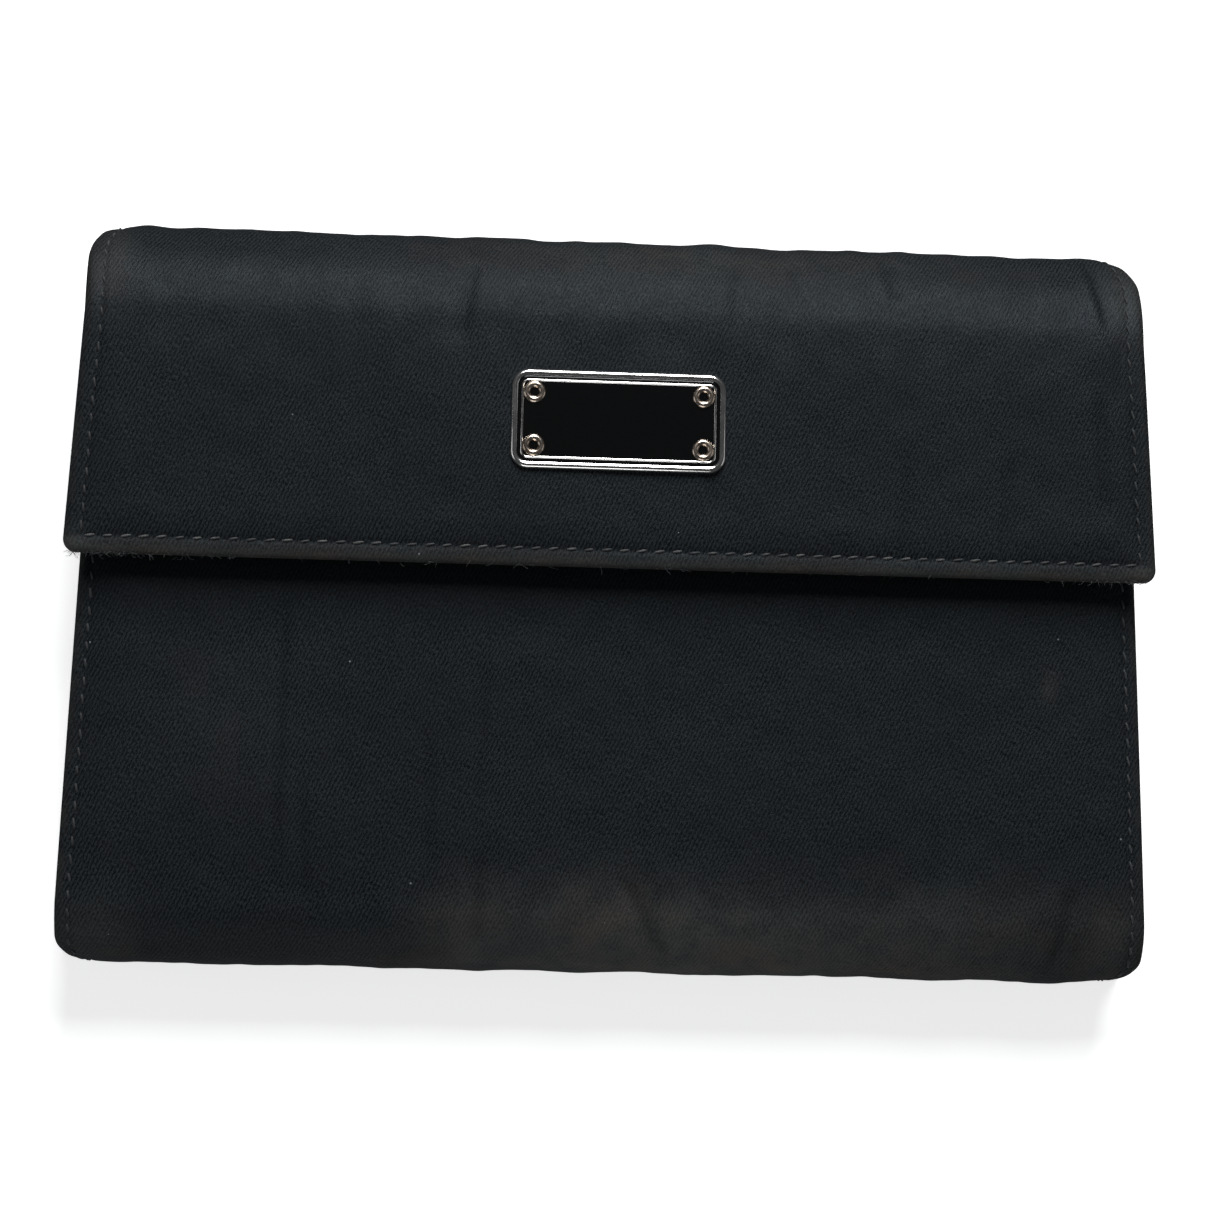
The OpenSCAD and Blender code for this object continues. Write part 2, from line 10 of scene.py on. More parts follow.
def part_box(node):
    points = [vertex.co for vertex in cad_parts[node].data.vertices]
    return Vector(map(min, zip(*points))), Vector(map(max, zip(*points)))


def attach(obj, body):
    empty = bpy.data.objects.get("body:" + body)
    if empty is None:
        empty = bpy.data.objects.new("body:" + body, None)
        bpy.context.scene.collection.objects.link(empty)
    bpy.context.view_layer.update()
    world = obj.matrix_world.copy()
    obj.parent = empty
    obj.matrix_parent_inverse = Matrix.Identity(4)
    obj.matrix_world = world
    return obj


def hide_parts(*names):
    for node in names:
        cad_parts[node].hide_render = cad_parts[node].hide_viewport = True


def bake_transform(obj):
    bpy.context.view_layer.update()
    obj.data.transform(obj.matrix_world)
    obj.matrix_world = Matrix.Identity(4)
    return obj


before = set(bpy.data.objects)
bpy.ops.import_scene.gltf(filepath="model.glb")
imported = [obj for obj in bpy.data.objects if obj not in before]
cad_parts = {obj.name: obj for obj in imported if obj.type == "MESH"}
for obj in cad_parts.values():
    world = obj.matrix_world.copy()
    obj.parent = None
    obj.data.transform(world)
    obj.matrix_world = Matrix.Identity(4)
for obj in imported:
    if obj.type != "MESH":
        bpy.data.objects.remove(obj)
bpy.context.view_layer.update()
MM = 0.001
TAU = 2 * math.pi

# ---------------------------------------------------------------- the wallet's own measures
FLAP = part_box("flap_cover")
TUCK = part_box("front_tuck_cover")
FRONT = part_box("front_cover")
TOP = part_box("top_spine_cover")
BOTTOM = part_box("bottom_spine_cover")
WALL_Y = TOP[1].y  # the folds stand at this distance from the middle
FLAP_Z = FLAP[1].z  # outer face of the flap
FRONT_Z = FRONT[1].z  # outer face of the front panel
TOP_R = 12.0 * MM  # how softly the flap rolls over into the top fold
LOW_R = 7.0 * MM  # and the front into the bottom fold
BACK_R = 3.4 * MM
PANEL_T = 1.8 * MM  # cover, board and lining together, at a turned edge
TOP_CORNER = (2.4 * MM, 4.2 * MM)  # plan corners of the top fold: across, along
LOW_CORNER = (2.2 * MM, 2.0 * MM)
FLAP_FLARE = 0.5 * MM  # the flap's free edge stands this much wider at each side
CLOTH_T = 0.28 * MM
EDGE = 0.9 * MM
HEM = 1.6 * MM


def smooth(t):
    """0 to 1 with level ends."""
    t = np.clip(t, 0.0, 1.0)
    return t * t * (3 - 2 * t)


def window(v, start, end, fade):
    """1 between start and end, fading outside them."""
    return smooth((v - start) / fade + 1) * smooth((end - v) / fade + 1)


def ripple(x, b, seed, size, waves=7):
    """A smooth, seeded unevenness of about that size, between -1 and 1."""
    rng = np.random.RandomState(seed)
    total = np.zeros(np.broadcast(x, b).shape)
    for _ in range(waves):
        angle, phase = rng.uniform(0, TAU, 2)
        length = size * rng.uniform(0.6, 1.6)
        total += np.sin(TAU * (x * math.cos(angle) + b * math.sin(angle)) / length + phase)
    return total / math.sqrt(waves) / 1.4


# ---------------------------------------------------------------- the path of the folded cloth
def line_part(y0, z0, y1, z1, ny, nz):
    n = max(2, int(math.hypot(y1 - y0, z1 - z0) / (0.1 * MM)))
    t = np.linspace(0, 1, n)
    return np.stack([y0 + (y1 - y0) * t, z0 + (z1 - z0) * t, t * 0 + ny, t * 0 + nz], 1)


def arc_part(cy, cz, r, from_deg, to_deg):
    a = np.radians(np.linspace(from_deg, to_deg, 80))
    return np.stack([cy + r * np.cos(a), cz + r * np.sin(a), np.cos(a), np.sin(a)], 1)


def folded_path():
    """Outer face of the cloth, from the flap's edge over the back to the tucked end: (s, y, z, ny, nz)."""
    parts = [
        line_part(FLAP[0].y, FLAP_Z, WALL_Y - TOP_R, FLAP_Z, 0, 1),
        arc_part(WALL_Y - TOP_R, FLAP_Z - TOP_R, TOP_R, 90, 0),
        line_part(WALL_Y, FLAP_Z - TOP_R, WALL_Y, BACK_R, 1, 0),
        arc_part(WALL_Y - BACK_R, BACK_R, BACK_R, 0, -90),
        line_part(WALL_Y - BACK_R, 0, BACK_R - WALL_Y, 0, 0, -1),
        arc_part(BACK_R - WALL_Y, BACK_R, BACK_R, -90, -180),
        line_part(-WALL_Y, BACK_R, -WALL_Y, FRONT_Z - LOW_R, -1, 0),
        arc_part(LOW_R - WALL_Y, FRONT_Z - LOW_R, LOW_R, 180, 90),
        line_part(LOW_R - WALL_Y, FRONT_Z, TUCK[1].y, FRONT_Z, 0, 1),
    ]
    ends, rows, total = [0.0], [], 0.0
    for i, p in enumerate(parts):
        step = np.hypot(np.diff(p[:, 0]), np.diff(p[:, 1]))
        s = total + np.concatenate([[0.0], np.cumsum(step)])
        total = s[-1]
        ends.append(total)
        rows.append(np.column_stack([s, p])[1 if i else 0 :])
    return np.concatenate(rows), ends


PATH, STOPS = folded_path()
S_FLAP_END, S_TOP_WALL, S_TOP_WALL_END, S_BACK, S_BACK_END = STOPS[1:6]
S_BOTTOM_WALL, S_BOTTOM_WALL_END, S_FRONT, S_END = STOPS[6:10]
S_TOP_CUT = (S_TOP_WALL + S_TOP_WALL_END) / 2
S_BACK_CUT = (S_BACK + S_BACK_END) / 2
S_BOTTOM_CUT = (S_BOTTOM_WALL + S_BOTTOM_WALL_END) / 2
S_FLAP_LINE = S_FRONT + FLAP[0].y - (LOW_R - WALL_Y)  # on the front, under the flap's edge
BOARD_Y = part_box("flap_board")[1].y  # the stiff part of the flap ends here, on its way round the fold
BOARD_ANGLE = math.asin((BOARD_Y - (WALL_Y - TOP_R)) / TOP_R)
S_BOARD_END = S_FLAP_END + TOP_R * BOARD_ANGLE
BOARD_Z = FLAP_Z - TOP_R * (1 - math.cos(BOARD_ANGLE))


def along(s, column):
    return np.interp(s, PATH[:, 0], PATH[:, column])


def wrap(x, s, h):
    """Plan point (x, s) at height h over the cloth's outer face, in the row frame."""
    y = along(s, 1) + along(s, 3) * h
    z = along(s, 2) + along(s, 4) * h
    return np.stack([x + 0 * y, y, z], -1)


def cover_half(s):
    """Half the cover's width at s."""
    stations = [0, S_FLAP_END, S_BACK, S_BACK_END, S_FRONT, S_FLAP_LINE, S_END]
    top, low, mid = TOP[1].x, BOTTOM[1].x, TUCK[1].x
    widths = [FLAP[1].x + FLAP_FLARE, top, top, low, low, mid, mid - 0.9 * MM]
    base = np.interp(s, stations, widths)
    y = along(s, 1)
    for way, (across, forward) in ((1, TOP_CORNER), (-1, LOW_CORNER)):
        past = np.clip((way * y - (WALL_Y - forward)) / forward, 0, 1)
        base = base - across * (1 - np.sqrt(np.maximum(0.0, 1 - past**2)))
    return base


def flat_place(origin, across, forward):
    """Maps plan points onto a plane; its outer side is across x forward."""
    o, a, f = (np.array(v, float) for v in (origin, across, forward))
    n = np.cross(a, f)

    def place(x, b, h):
        x, b, h = (np.asarray(v, float)[..., None] for v in np.broadcast_arrays(x, b, h))
        return o + x * a + b * f + h * n

    return place


# ---------------------------------------------------------------- mesh builders
def make_object(name, verts, faces, material, uv=None, values=None):
    """A mesh object from arrays. uv is one pair per vertex, values are named numbers per vertex."""
    mesh = bpy.data.meshes.new(name)
    mesh.from_pydata(np.asarray(verts, float).tolist(), [], [tuple(int(i) for i in f) for f in faces])
    mesh.materials.append(material)
    mesh.polygons.foreach_set("use_smooth", [True] * len(mesh.polygons))
    if uv is not None:
        loops = np.zeros(len(mesh.loops), np.int32)
        mesh.loops.foreach_get("vertex_index", loops)
        layer = mesh.uv_layers.new(name="Cloth")
        layer.data.foreach_set("uv", np.asarray(uv, np.float32)[loops].ravel())
    for key, numbers in (values or {}).items():
        made = mesh.attributes.new(key, "FLOAT", "POINT")
        made.data.foreach_set("value", np.asarray(numbers, np.float32))
    mesh.update()
    obj = bpy.data.objects.new(name, mesh)
    bpy.context.scene.collection.objects.link(obj)
    return obj


SHARP_CLOTH, SHARP_PLATE, SHARP_RIVET = 55, 40, 50  # degrees past which shading breaks


def tube_faces(rings, sides, base=0, closed=False):
    """Faces of rings of points one after another: capped at both ends, or closed on themselves."""
    faces = []
    for k in range(rings if closed else rings - 1):
        near, far = base + k * sides, base + (k + 1) % rings * sides
        for j in range(sides):
            beside = (j + 1) % sides
            faces.append((near + j, near + beside, far + beside, far + j))
    if not closed:
        last = base + (rings - 1) * sides
        faces.append(tuple(base + j for j in reversed(range(sides))))
        faces.append(tuple(last + j for j in range(sides)))
    return faces


def stand_in(obj, node, body):
    """The piece stands for a CAD node, which it hides, and moves with its body."""
    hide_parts(node)
    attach(obj, body)


def sharpen(obj, degrees):
    """Marks edges sharper than this, so that shading breaks there."""
    obj.data.set_sharp_from_angle(angle=math.radians(degrees))
    return obj


def point_normals(verts, quads):
    a, b, c, d = (verts[quads[:, k]] for k in range(4))
    face = np.cross(c - a, d - b)
    total = np.zeros_like(verts)
    for k in range(4):
        np.add.at(total, quads[:, k], face)
    return total / np.maximum(np.linalg.norm(total, axis=1, keepdims=True), 1e-12)


def thicken(verts, quads, thick):
    """Gives an open sheet a back side and rims."""
    n = len(verts)
    inner = verts - point_normals(verts, quads) * thick
    edges = np.concatenate([quads[:, [k, (k + 1) % 4]] for k in range(4)])
    seen = {(int(a), int(b)) for a, b in edges}
    rims = [(b, a, a + n, b + n) for a, b in sorted(seen) if (b, a) not in seen]
    return np.concatenate([verts, inner]), np.concatenate([quads, quads[:, ::-1] + n, np.array(rims)])


def spread(a, b, step):
    return list(np.linspace(a, b, max(1, int(round((b - a) / step))) + 1))


NEAR_EDGE = [0.9, 1.2, 1.5, 1.75, 2.0, 2.2, 2.4, 2.7, 3.1, 3.6, 4.3, 5.2]  # rows of points, mm from an edge
PLAIN_EDGE = [0.3, 0.8, 1.4, 2.2, 3.4]


def sheet_points(span, half, free, corner, near, step):
    """Plan grid of a sheet: x, b, distance to the nearest edge and outward direction, rows along b."""
    b0, b1 = span
    near = np.array(near) * MM
    last = near[-1]
    start = b0 + (near if free[0] else np.array([0.0]))
    end = b1 - (near[::-1] if free[1] else np.array([0.0]))
    rows = np.concatenate([start[:-1], spread(start[-1], end[0], step), end[1:]])
    inner = half((b0 + b1) / 2) - last
    mid = np.array(spread(-1, 1, step / inner))[1:-1]
    side = np.concatenate([-np.ones(len(near)), np.zeros(len(mid)), np.ones(len(near))])
    ix = np.concatenate([near, np.full(len(mid), 1.0), near[::-1]])
    share = np.concatenate([near * 0, mid, near * 0])
    b, ix2 = np.meshgrid(rows, ix, indexing="ij")
    side = np.broadcast_to(side, b.shape)
    share = np.broadcast_to(share, b.shape)
    from_start = b - b0 if free[0] else np.full(b.shape, 1.0)
    from_end = b1 - b if free[1] else np.full(b.shape, 1.0)
    at_start = from_start < from_end
    ib = np.minimum(from_start, from_end)
    e = near[0]
    qx = np.clip((corner - ix2) / (corner - e), 0, 1)
    qb = np.clip((corner - ib) / (corner - e), 0, 1)
    both = (qx > 0) & (qb > 0)
    rx, rb = qx * np.sqrt(1 - qb**2 / 2), qb * np.sqrt(1 - qx**2 / 2)
    new_ix = np.where(both, corner - rx * (corner - e), ix2)
    new_ib = np.where(both, corner - rb * (corner - e), ib)
    b = np.where(both, np.where(at_start, b0 + new_ib, b1 - new_ib), b)
    width = half(b)
    x = np.where(side != 0, side * (width - new_ix), share * (width - last))
    nx, nb = np.where(both, rx * side, side * (qx >= 1)), np.where(both, rb, 1.0 * (qb >= 1))
    nb = np.where(at_start, -nb, nb)
    inset = np.minimum(np.minimum(width - np.abs(x), ib), 1.0)
    inset = np.where(both, corner - np.hypot(rx, rb) * (corner - e), inset)
    return x, b, inset, nx, nb


def border(rows, cols, free):
    """Runs of (row, column) along the turned edges, the sheet on their left."""
    left = [(i, 0) for i in range(rows - 1, -1, -1)]
    right = [(i, cols - 1) for i in range(rows)]
    first = [(0, j) for j in range(cols)]
    last = [(rows - 1, j) for j in range(cols - 1, -1, -1)]
    if free == (True, True):
        return [(left[:-1] + first[:-1] + right[:-1] + last[:-1], True)]
    if free == (True, False):
        return [(left[:-1] + first[:-1] + right, False)]
    if free == (False, True):
        return [(right[:-1] + last[:-1] + left, False)]
    return [(left, False), (right, False)]


def turned_profile(edge, depth, hem, steps=6):
    """(how far out from the sheet's last row, how deep) round a turned edge and back under it."""
    turns = [math.pi * k / steps for k in range(1, steps + 1)]
    out = [(edge * math.sin(t), depth / 2 * (1 - math.cos(t))) for t in turns]
    if hem:
        out += [(-hem / 2, depth), (-hem, depth)]
    return out


def level(x, b, inset):
    """The relief of a flat sheet."""
    return 0 * x


def soft_sheet(name, span, half, place, material, relief=level, free=(True, True), corner=1.8 * MM,
               depth=PANEL_T, hem=HEM, near=NEAR_EDGE, step=0.95 * MM, thick=CLOTH_T, hole=None,
               values=None):
    """One piece of cloth or leather with real thickness: a grid in plan coordinates, wrapped by place,
    raised by relief, with its free edges turned under."""
    x, b, inset, nx, nb = sheet_points(span, half, free, corner, near, step)
    rows, cols = x.shape
    raised = relief(x, b, inset)
    index = np.arange(rows * cols).reshape(rows, cols)
    verts, inset_all = [place(x, b, raised).reshape(-1, 3)], [inset.ravel()]
    uv = [np.stack([x, b], -1).reshape(-1, 2)]
    quads = np.stack([index[:-1, :-1], index[:-1, 1:], index[1:, 1:], index[1:, :-1]], -1)
    if hole:
        middle = (inset[:-1, :-1] + inset[1:, 1:]) / 2 > hole
        quads = quads[~middle]
    quads = [quads.reshape(-1, 4)]
    edge = near[0] * MM
    count = rows * cols
    for run, closed in border(rows, cols, free):
        i, j = np.array(run).T
        base = index[i, j]
        px, pb, ox, ob, ph = x[i, j], b[i, j], nx[i, j], nb[i, j], raised[i, j]
        before, travelled = base, np.zeros(len(base))
        spot = (0.0, 0.0)
        for k, (out, down) in enumerate(turned_profile(edge, depth, hem)):
            travelled = travelled + math.hypot(out - spot[0], down - spot[1])
            spot = (out, down)
            fade = max(0.0, 1 - down / depth)
            verts.append(place(px + ox * out, pb + ob * out, ph * fade - down))
            uv.append(np.stack([px + ox * travelled, pb + ob * travelled], -1))
            inset_all.append(edge - travelled)
            now = count + np.arange(len(base))
            count += len(base)
            ring = np.stack([before, now, np.roll(now, -1), np.roll(before, -1)], -1)
            quads.append(ring if closed else ring[:-1])
            before = now
    verts, quads = np.concatenate(verts), np.concatenate(quads)
    uv, inset_all = np.concatenate(uv), np.concatenate(inset_all)
    verts2, quads2 = thicken(verts, quads, thick)
    uv2 = np.concatenate([uv, uv])
    numbers = {"inset": np.concatenate([inset_all, inset_all]) / MM}
    if values:
        for key, f in values.items():
            v = f(uv[:, 0], uv[:, 1])
            numbers[key] = np.concatenate([v, v])
    used = np.unique(quads2)
    renumber = np.zeros(len(verts2), int)
    renumber[used] = np.arange(len(used))
    numbers = {k: v[used] for k, v in numbers.items()}
    made = make_object(name, verts2[used], renumber[quads2], material, uv2[used], numbers)
    return sharpen(made, SHARP_CLOTH)


def walk(points, pitch):
    """Evenly spaced (x, b, direction) along a plan polyline."""
    p = np.array(points, float)
    seg = np.hypot(*np.diff(p, axis=0).T)
    s = np.concatenate([[0], np.cumsum(seg)])
    n = max(1, int(round(s[-1] / pitch)))
    at = (np.arange(n) + 0.5) * s[-1] / n
    k = np.clip(np.searchsorted(s, at) - 1, 0, len(seg) - 1)
    way = np.diff(p, axis=0)[k] / seg[k][:, None]
    spot = p[k] + way * (at - s[k])[:, None]
    return spot, way


STITCH_LONG, STITCH_PITCH = 1.45 * MM, 2.3 * MM
STITCH_SHAPE = [  # share of the stitch's length from its middle; lift and radius in mm
    (-0.5, -0.16, 0.05),
    (-0.38, 0.02, 0.12),
    (-0.15, 0.1, 0.15),
    (0.15, 0.1, 0.15),
    (0.38, 0.02, 0.12),
    (0.5, -0.16, 0.05),
]
STITCH_SKEW, STITCH_SEED = 0.16, 5
THREAD_SIDES = 6
PLAIN_FADE = 0.5  # for rows that are given no fade of their own


def stitch_rows(name, runs, place, surface, material, body=None, size=1.0, fades=()):
    """Thread stitches as small arched rods along plan polylines, sunk at both ends. A fade of 1 is
    thread worn to the cloth's own colour."""
    rng = np.random.RandomState(STITCH_SEED)
    verts, faces, faded = [], [], []
    turn = np.arange(THREAD_SIDES) * TAU / THREAD_SIDES
    for number, run in enumerate(runs):
        spot, way = walk(run, STITCH_PITCH)
        fade = fades[number] if fades else PLAIN_FADE
        faded += [fade] * (len(spot) * len(STITCH_SHAPE) * THREAD_SIDES)
        for (x, b), (wx, wb) in zip(spot, way):
            skew = STITCH_SKEW + rng.uniform(-0.06, 0.06)
            wx, wb = wx - wb * skew, wb + wx * skew
            length = STITCH_LONG * size * rng.uniform(0.88, 1.08)
            x, b = x + rng.uniform(-1, 1) * 0.05 * MM, b + rng.uniform(-1, 1) * 0.05 * MM
            faces += tube_faces(len(STITCH_SHAPE), THREAD_SIDES, len(verts) * THREAD_SIDES)
            for t, lift, r in STITCH_SHAPE:
                cx, cb = np.array([x + wx * t * length]), np.array([b + wb * t * length])
                h = surface(cx, cb) + lift * MM * size
                centre = place(cx, cb, h)[0]
                up = place(cx, cb, h + MM)[0] - centre
                ahead = place(cx + wx * MM, cb + wb * MM, h)[0] - centre
                up, ahead = up / np.linalg.norm(up), ahead / np.linalg.norm(ahead)
                aside = np.cross(ahead, up)
                ring = np.outer(np.cos(turn), aside) + np.outer(np.sin(turn), up)
                verts.append(centre + r * MM * size * ring)
    obj = make_object(name, np.concatenate(verts), faces, material, values={"fade": faded})
    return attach(obj, body) if body else obj


# ---------------------------------------------------------------- materials
def new_material(name):
    m = bpy.data.materials.new(name)
    m.use_nodes = True
    nodes = m.node_tree.nodes
    nodes.clear()
    out = nodes.new("ShaderNodeOutputMaterial")
    shader = nodes.new("ShaderNodeBsdfPrincipled")
    m.node_tree.links.new(shader.outputs[0], out.inputs[0])
    return m, m.node_tree, shader


def put(tree, socket, value):
    if isinstance(value, bpy.types.NodeSocket):
        tree.links.new(value, socket)
    elif value is not None:
        socket.default_value = value


def math_node(tree, operation, a, b=None, clamp=False):
    n = tree.nodes.new("ShaderNodeMath")
    n.operation = operation
    n.use_clamp = clamp
    for socket, value in zip(n.inputs, (a, b)):
        put(tree, socket, value)
    return n.outputs[0]


def vector_node(tree, operation, a, b=None, scale=None):
    n = tree.nodes.new("ShaderNodeVectorMath")
    n.operation = operation
    put(tree, n.inputs[0], a)
    put(tree, n.inputs[1], b)
    if scale is not None:
        put(tree, n.inputs["Scale"], scale)
    return n.outputs["Value"] if operation == "DOT_PRODUCT" else n.outputs["Vector"]


def coords(tree, kind):
    return tree.nodes.new("ShaderNodeTexCoord").outputs[kind]


def noise_at(tree, where, size, detail=3.0, rough=0.55):
    """Soft noise whose features are about size metres."""
    n = tree.nodes.new("ShaderNodeTexNoise")
    put(tree, n.inputs["Vector"], where)
    n.inputs["Scale"].default_value = 1 / size
    n.inputs["Detail"].default_value = detail
    n.inputs["Roughness"].default_value = rough
    return n.outputs["Fac"]


def cells_at(tree, where, size, output="Distance", feature="F1"):
    n = tree.nodes.new("ShaderNodeTexVoronoi")
    n.feature = feature
    put(tree, n.inputs["Vector"], where)
    n.inputs["Scale"].default_value = 1 / size
    return n.outputs[output]


def ramp(tree, value, low, high, to_low=0.0, to_high=1.0):
    n = tree.nodes.new("ShaderNodeMapRange")
    n.interpolation_type = "SMOOTHSTEP"
    sockets = ("Value", "From Min", "From Max", "To Min", "To Max")
    for key, v in zip(sockets, (value, low, high, to_low, to_high)):
        put(tree, n.inputs[key], v)
    return n.outputs["Result"]


def mix(tree, share, a, b):
    n = tree.nodes.new("ShaderNodeMix")
    n.data_type = "RGBA"
    put(tree, n.inputs[0], share)
    put(tree, n.inputs[6], a)
    put(tree, n.inputs[7], b)
    return n.outputs[2]


def waves(tree, where, direction, period):
    """Sine ribs across a direction, one per period metres."""
    d = tuple(v * TAU / period for v in direction)
    return math_node(tree, "SINE", vector_node(tree, "DOT_PRODUCT", where, d))


def bump(tree, height, strength, depth):
    n = tree.nodes.new("ShaderNodeBump")
    n.inputs["Strength"].default_value = strength
    n.inputs["Distance"].default_value = depth
    put(tree, n.inputs["Height"], height)
    return n.outputs["Normal"]


def dress(tree, shader, colour, rough, normal):
    put(tree, shader.inputs["Base Color"], colour)
    put(tree, shader.inputs["Roughness"], rough)
    put(tree, shader.inputs["Normal"], normal)


def attribute(tree, name):
    n = tree.nodes.new("ShaderNodeAttribute")
    n.attribute_name = name
    return n.outputs["Fac"]


def scaled(tree, value, factor):
    return math_node(tree, "MULTIPLY", value, factor)


def added(tree, a, b):
    return math_node(tree, "ADD", a, b)


TWILL = (0.906, -0.423, 0.0)  # across ribs that lean like a slash, 65 degrees from level
TWILL_ALONG = (0.423, 0.906, 0.0)


def broken_ribs(tree, where, across, along):
    """Noise drawn out along the ribs, for floats of thread about that wide and that long."""
    n = tree.nodes.new("ShaderNodeCombineXYZ")
    put(tree, n.inputs[0], vector_node(tree, "DOT_PRODUCT", where, tuple(v / across for v in TWILL)))
    put(tree, n.inputs[1], vector_node(tree, "DOT_PRODUCT", where, tuple(v / along for v in TWILL_ALONG)))
    return noise_at(tree, n.outputs[0], 1.0, 1.0, 0.5)


def cover_material():
    """Blue-black nylon twill with a satin sheen, rubbed greyer along edges and folds, with lint; painted
    light on the top and bottom folds, painted shade in creases and below the flap's edge.
    """
    m, t, s = new_material("nylon_twill")
    uv = coords(t, "UV")
    wobble = vector_node(t, "SCALE", noise_vector(t, uv, 2.5 * MM), scale=0.00022)
    where = vector_node(t, "ADD", uv, wobble)
    rib = scaled(t, waves(t, where, TWILL, 0.50 * MM), 0.25)
    floats = scaled(t, broken_ribs(t, where, 0.16 * MM, 0.46 * MM), 2.2)
    fleck = scaled(t, noise_at(t, uv, 0.15 * MM, 2.0, 0.7), 1.1)
    broad = noise_at(t, uv, 16 * MM, 4.0, 0.6)
    cloudy = noise_at(t, uv, 4.0 * MM, 4.0, 0.65)
    weave = added(t, rib, added(t, floats, fleck))
    shade = ramp(t, weave, 1.24, 2.08)
    colour = mix(t, shade, (0.0007, 0.0013, 0.0019, 1), (0.0175, 0.0215, 0.0250, 1))
    colour = mix(t, ramp(t, broad, 0.35, 0.7, 0.0, 0.25), colour, (0.0044, 0.0060, 0.0077, 1))
    patchy = ramp(t, cloudy, 0.05, 0.75, 0.35, 1.0)
    # dust and rubbing, and also painted light on the top and bottom folds: the cloth turns a lighter grey
    # there
    dust_and_light = math_node(t, "MULTIPLY", attribute(t, "dust_and_painted_light"), patchy, clamp=True)
    dust_and_light = math_node(t, "MULTIPLY", dust_and_light, ramp(t, weave, 1.1, 2.2, 0.62, 1.18), clamp=True)
    rubbed = mix(t, ramp(t, broad, 0.42, 0.60), (0.056, 0.058, 0.056, 1), (0.062, 0.055, 0.050, 1))
    colour = mix(t, dust_and_light, colour, rubbed)
    # painted shade: the cloth darkens in its creases and in a painted shadow below the flap's edge
    colour = mix(t, scaled(t, attribute(t, "shade"), 0.6), colour, (0.0007, 0.0011, 0.0015, 1))
    turned = ramp(t, attribute(t, "inset"), 1.5, 0.3)
    turned = math_node(t, "MULTIPLY", turned, ramp(t, noise_at(t, uv, 3 * MM, 5.0, 0.7), 0.36, 0.62))
    colour = mix(t, scaled(t, turned, 0.45), colour, (0.030, 0.027, 0.024, 1))
    colour = mix(t, lint_mask(t, uv), colour, (0.22, 0.23, 0.23, 1))
    dress(t, s, colour, ramp(t, cloudy, 0.3, 0.7, 0.40, 0.50), bump(t, weave, 0.7, 0.05 * MM))
    s.inputs["Specular IOR Level"].default_value = 0.12
    s.inputs["Specular Tint"].default_value = (0.80, 0.92, 1.0, 1)
    return m


def noise_vector(tree, where, size):
    n = tree.nodes.new("ShaderNodeTexNoise")
    put(tree, n.inputs["Vector"], where)
    n.inputs["Scale"].default_value = 1 / size
    n.inputs["Detail"].default_value = 2.0
    return vector_node(tree, "SUBTRACT", n.outputs["Color"], (0.5, 0.5, 0.5))


def lint_mask(tree, uv):
    """A few tiny specks of lint, each its own size."""
    near = cells_at(tree, uv, 4.2 * MM)
    pick = cells_at(tree, uv, 4.2 * MM, "Color")
    split = tree.nodes.new("ShaderNodeSeparateColor")
    tree.links.new(pick, split.inputs[0])
    size = ramp(tree, split.outputs[0], 0.55, 1.0, 0.0, 0.030)
    return math_node(tree, "MULTIPLY", math_node(tree, "LESS_THAN", near, size), 0.8)


def weave_material(name, dark, light, period=0.42 * MM, rough=0.62, ribs=(1, 0, 0), cross=(0, 1, 0)):
    """Plain or ribbed cloth: two thread directions, mottled and slightly rubbed."""
    m, t, s = new_material(name)
    at = coords(t, "UV")
    one, two = waves(t, at, ribs, period), waves(t, at, cross, period * 1.15)
    knots = math_node(t, "MULTIPLY", one, two)
    body = noise_at(t, at, 6 * MM, 4.0)
    fine = noise_at(t, at, 0.5 * MM, 2.0)
    height = added(t, scaled(t, knots, 0.5), fine)
    colour = mix(t, ramp(t, height, 0.0, 1.0), dark, light)
    pale = tuple(min(1.0, c * 1.5) for c in light[:3]) + (1,)
    colour = mix(t, ramp(t, body, 0.55, 0.8, 0.0, 0.4), colour, pale)
    dress(t, s, colour, ramp(t, body, 0.3, 0.7, rough - 0.06, rough + 0.08),
          bump(t, height, 0.6, 0.04 * MM))
    s.inputs["Specular IOR Level"].default_value = 0.3
    s.inputs["Sheen Weight"].default_value = 0.06
    return m


def leather_material():
    """Black pebbled leather, a little shiny on the high grain."""
    m, t, s = new_material("pebbled_leather")
    at = coords(t, "Object")
    grain = cells_at(t, at, 0.85 * MM, feature="SMOOTH_F1")
    fine = noise_at(t, at, 0.3 * MM, 3.0)
    broad = noise_at(t, at, 9 * MM, 4.0)
    height = added(t, scaled(t, grain, -1.0), scaled(t, fine, 0.35))
    colour = mix(t, ramp(t, grain, 0.2, 0.75), (0.0120, 0.0115, 0.0112, 1), (0.0050, 0.0050, 0.0052, 1))
    colour = mix(t, ramp(t, broad, 0.52, 0.78, 0.0, 0.5), colour, (0.020, 0.019, 0.0185, 1))
    dress(t, s, colour, ramp(t, grain, 0.1, 0.7, 0.38, 0.58), bump(t, height, 0.55, 0.09 * MM))
    s.inputs["Specular IOR Level"].default_value = 0.26
    return m


def thread_material():
    m, t, s = new_material("sewing_thread")
    at = coords(t, "Object")
    twist = noise_at(t, at, 0.18 * MM, 2.0)
    age = noise_at(t, at, 2.4 * MM, 2.0)
    colour = mix(t, ramp(t, twist, 0.3, 0.7), (0.055, 0.057, 0.057, 1), (0.200, 0.202, 0.198, 1))
    colour = mix(t, ramp(t, age, 0.40, 0.58, 0.0, 0.88), colour, (0.028, 0.030, 0.032, 1))
    colour = mix(t, attribute(t, "fade"), colour, (0.0090, 0.0118, 0.0150, 1))
    dress(t, s, colour, ramp(t, twist, 0.3, 0.7, 0.55, 0.75), bump(t, twist, 0.6, 0.03 * MM))
    s.inputs["Sheen Weight"].default_value = 0.1
    return m


SCRATCH = 0.5  # how much rougher the scratches are, as a share of the metal's roughness


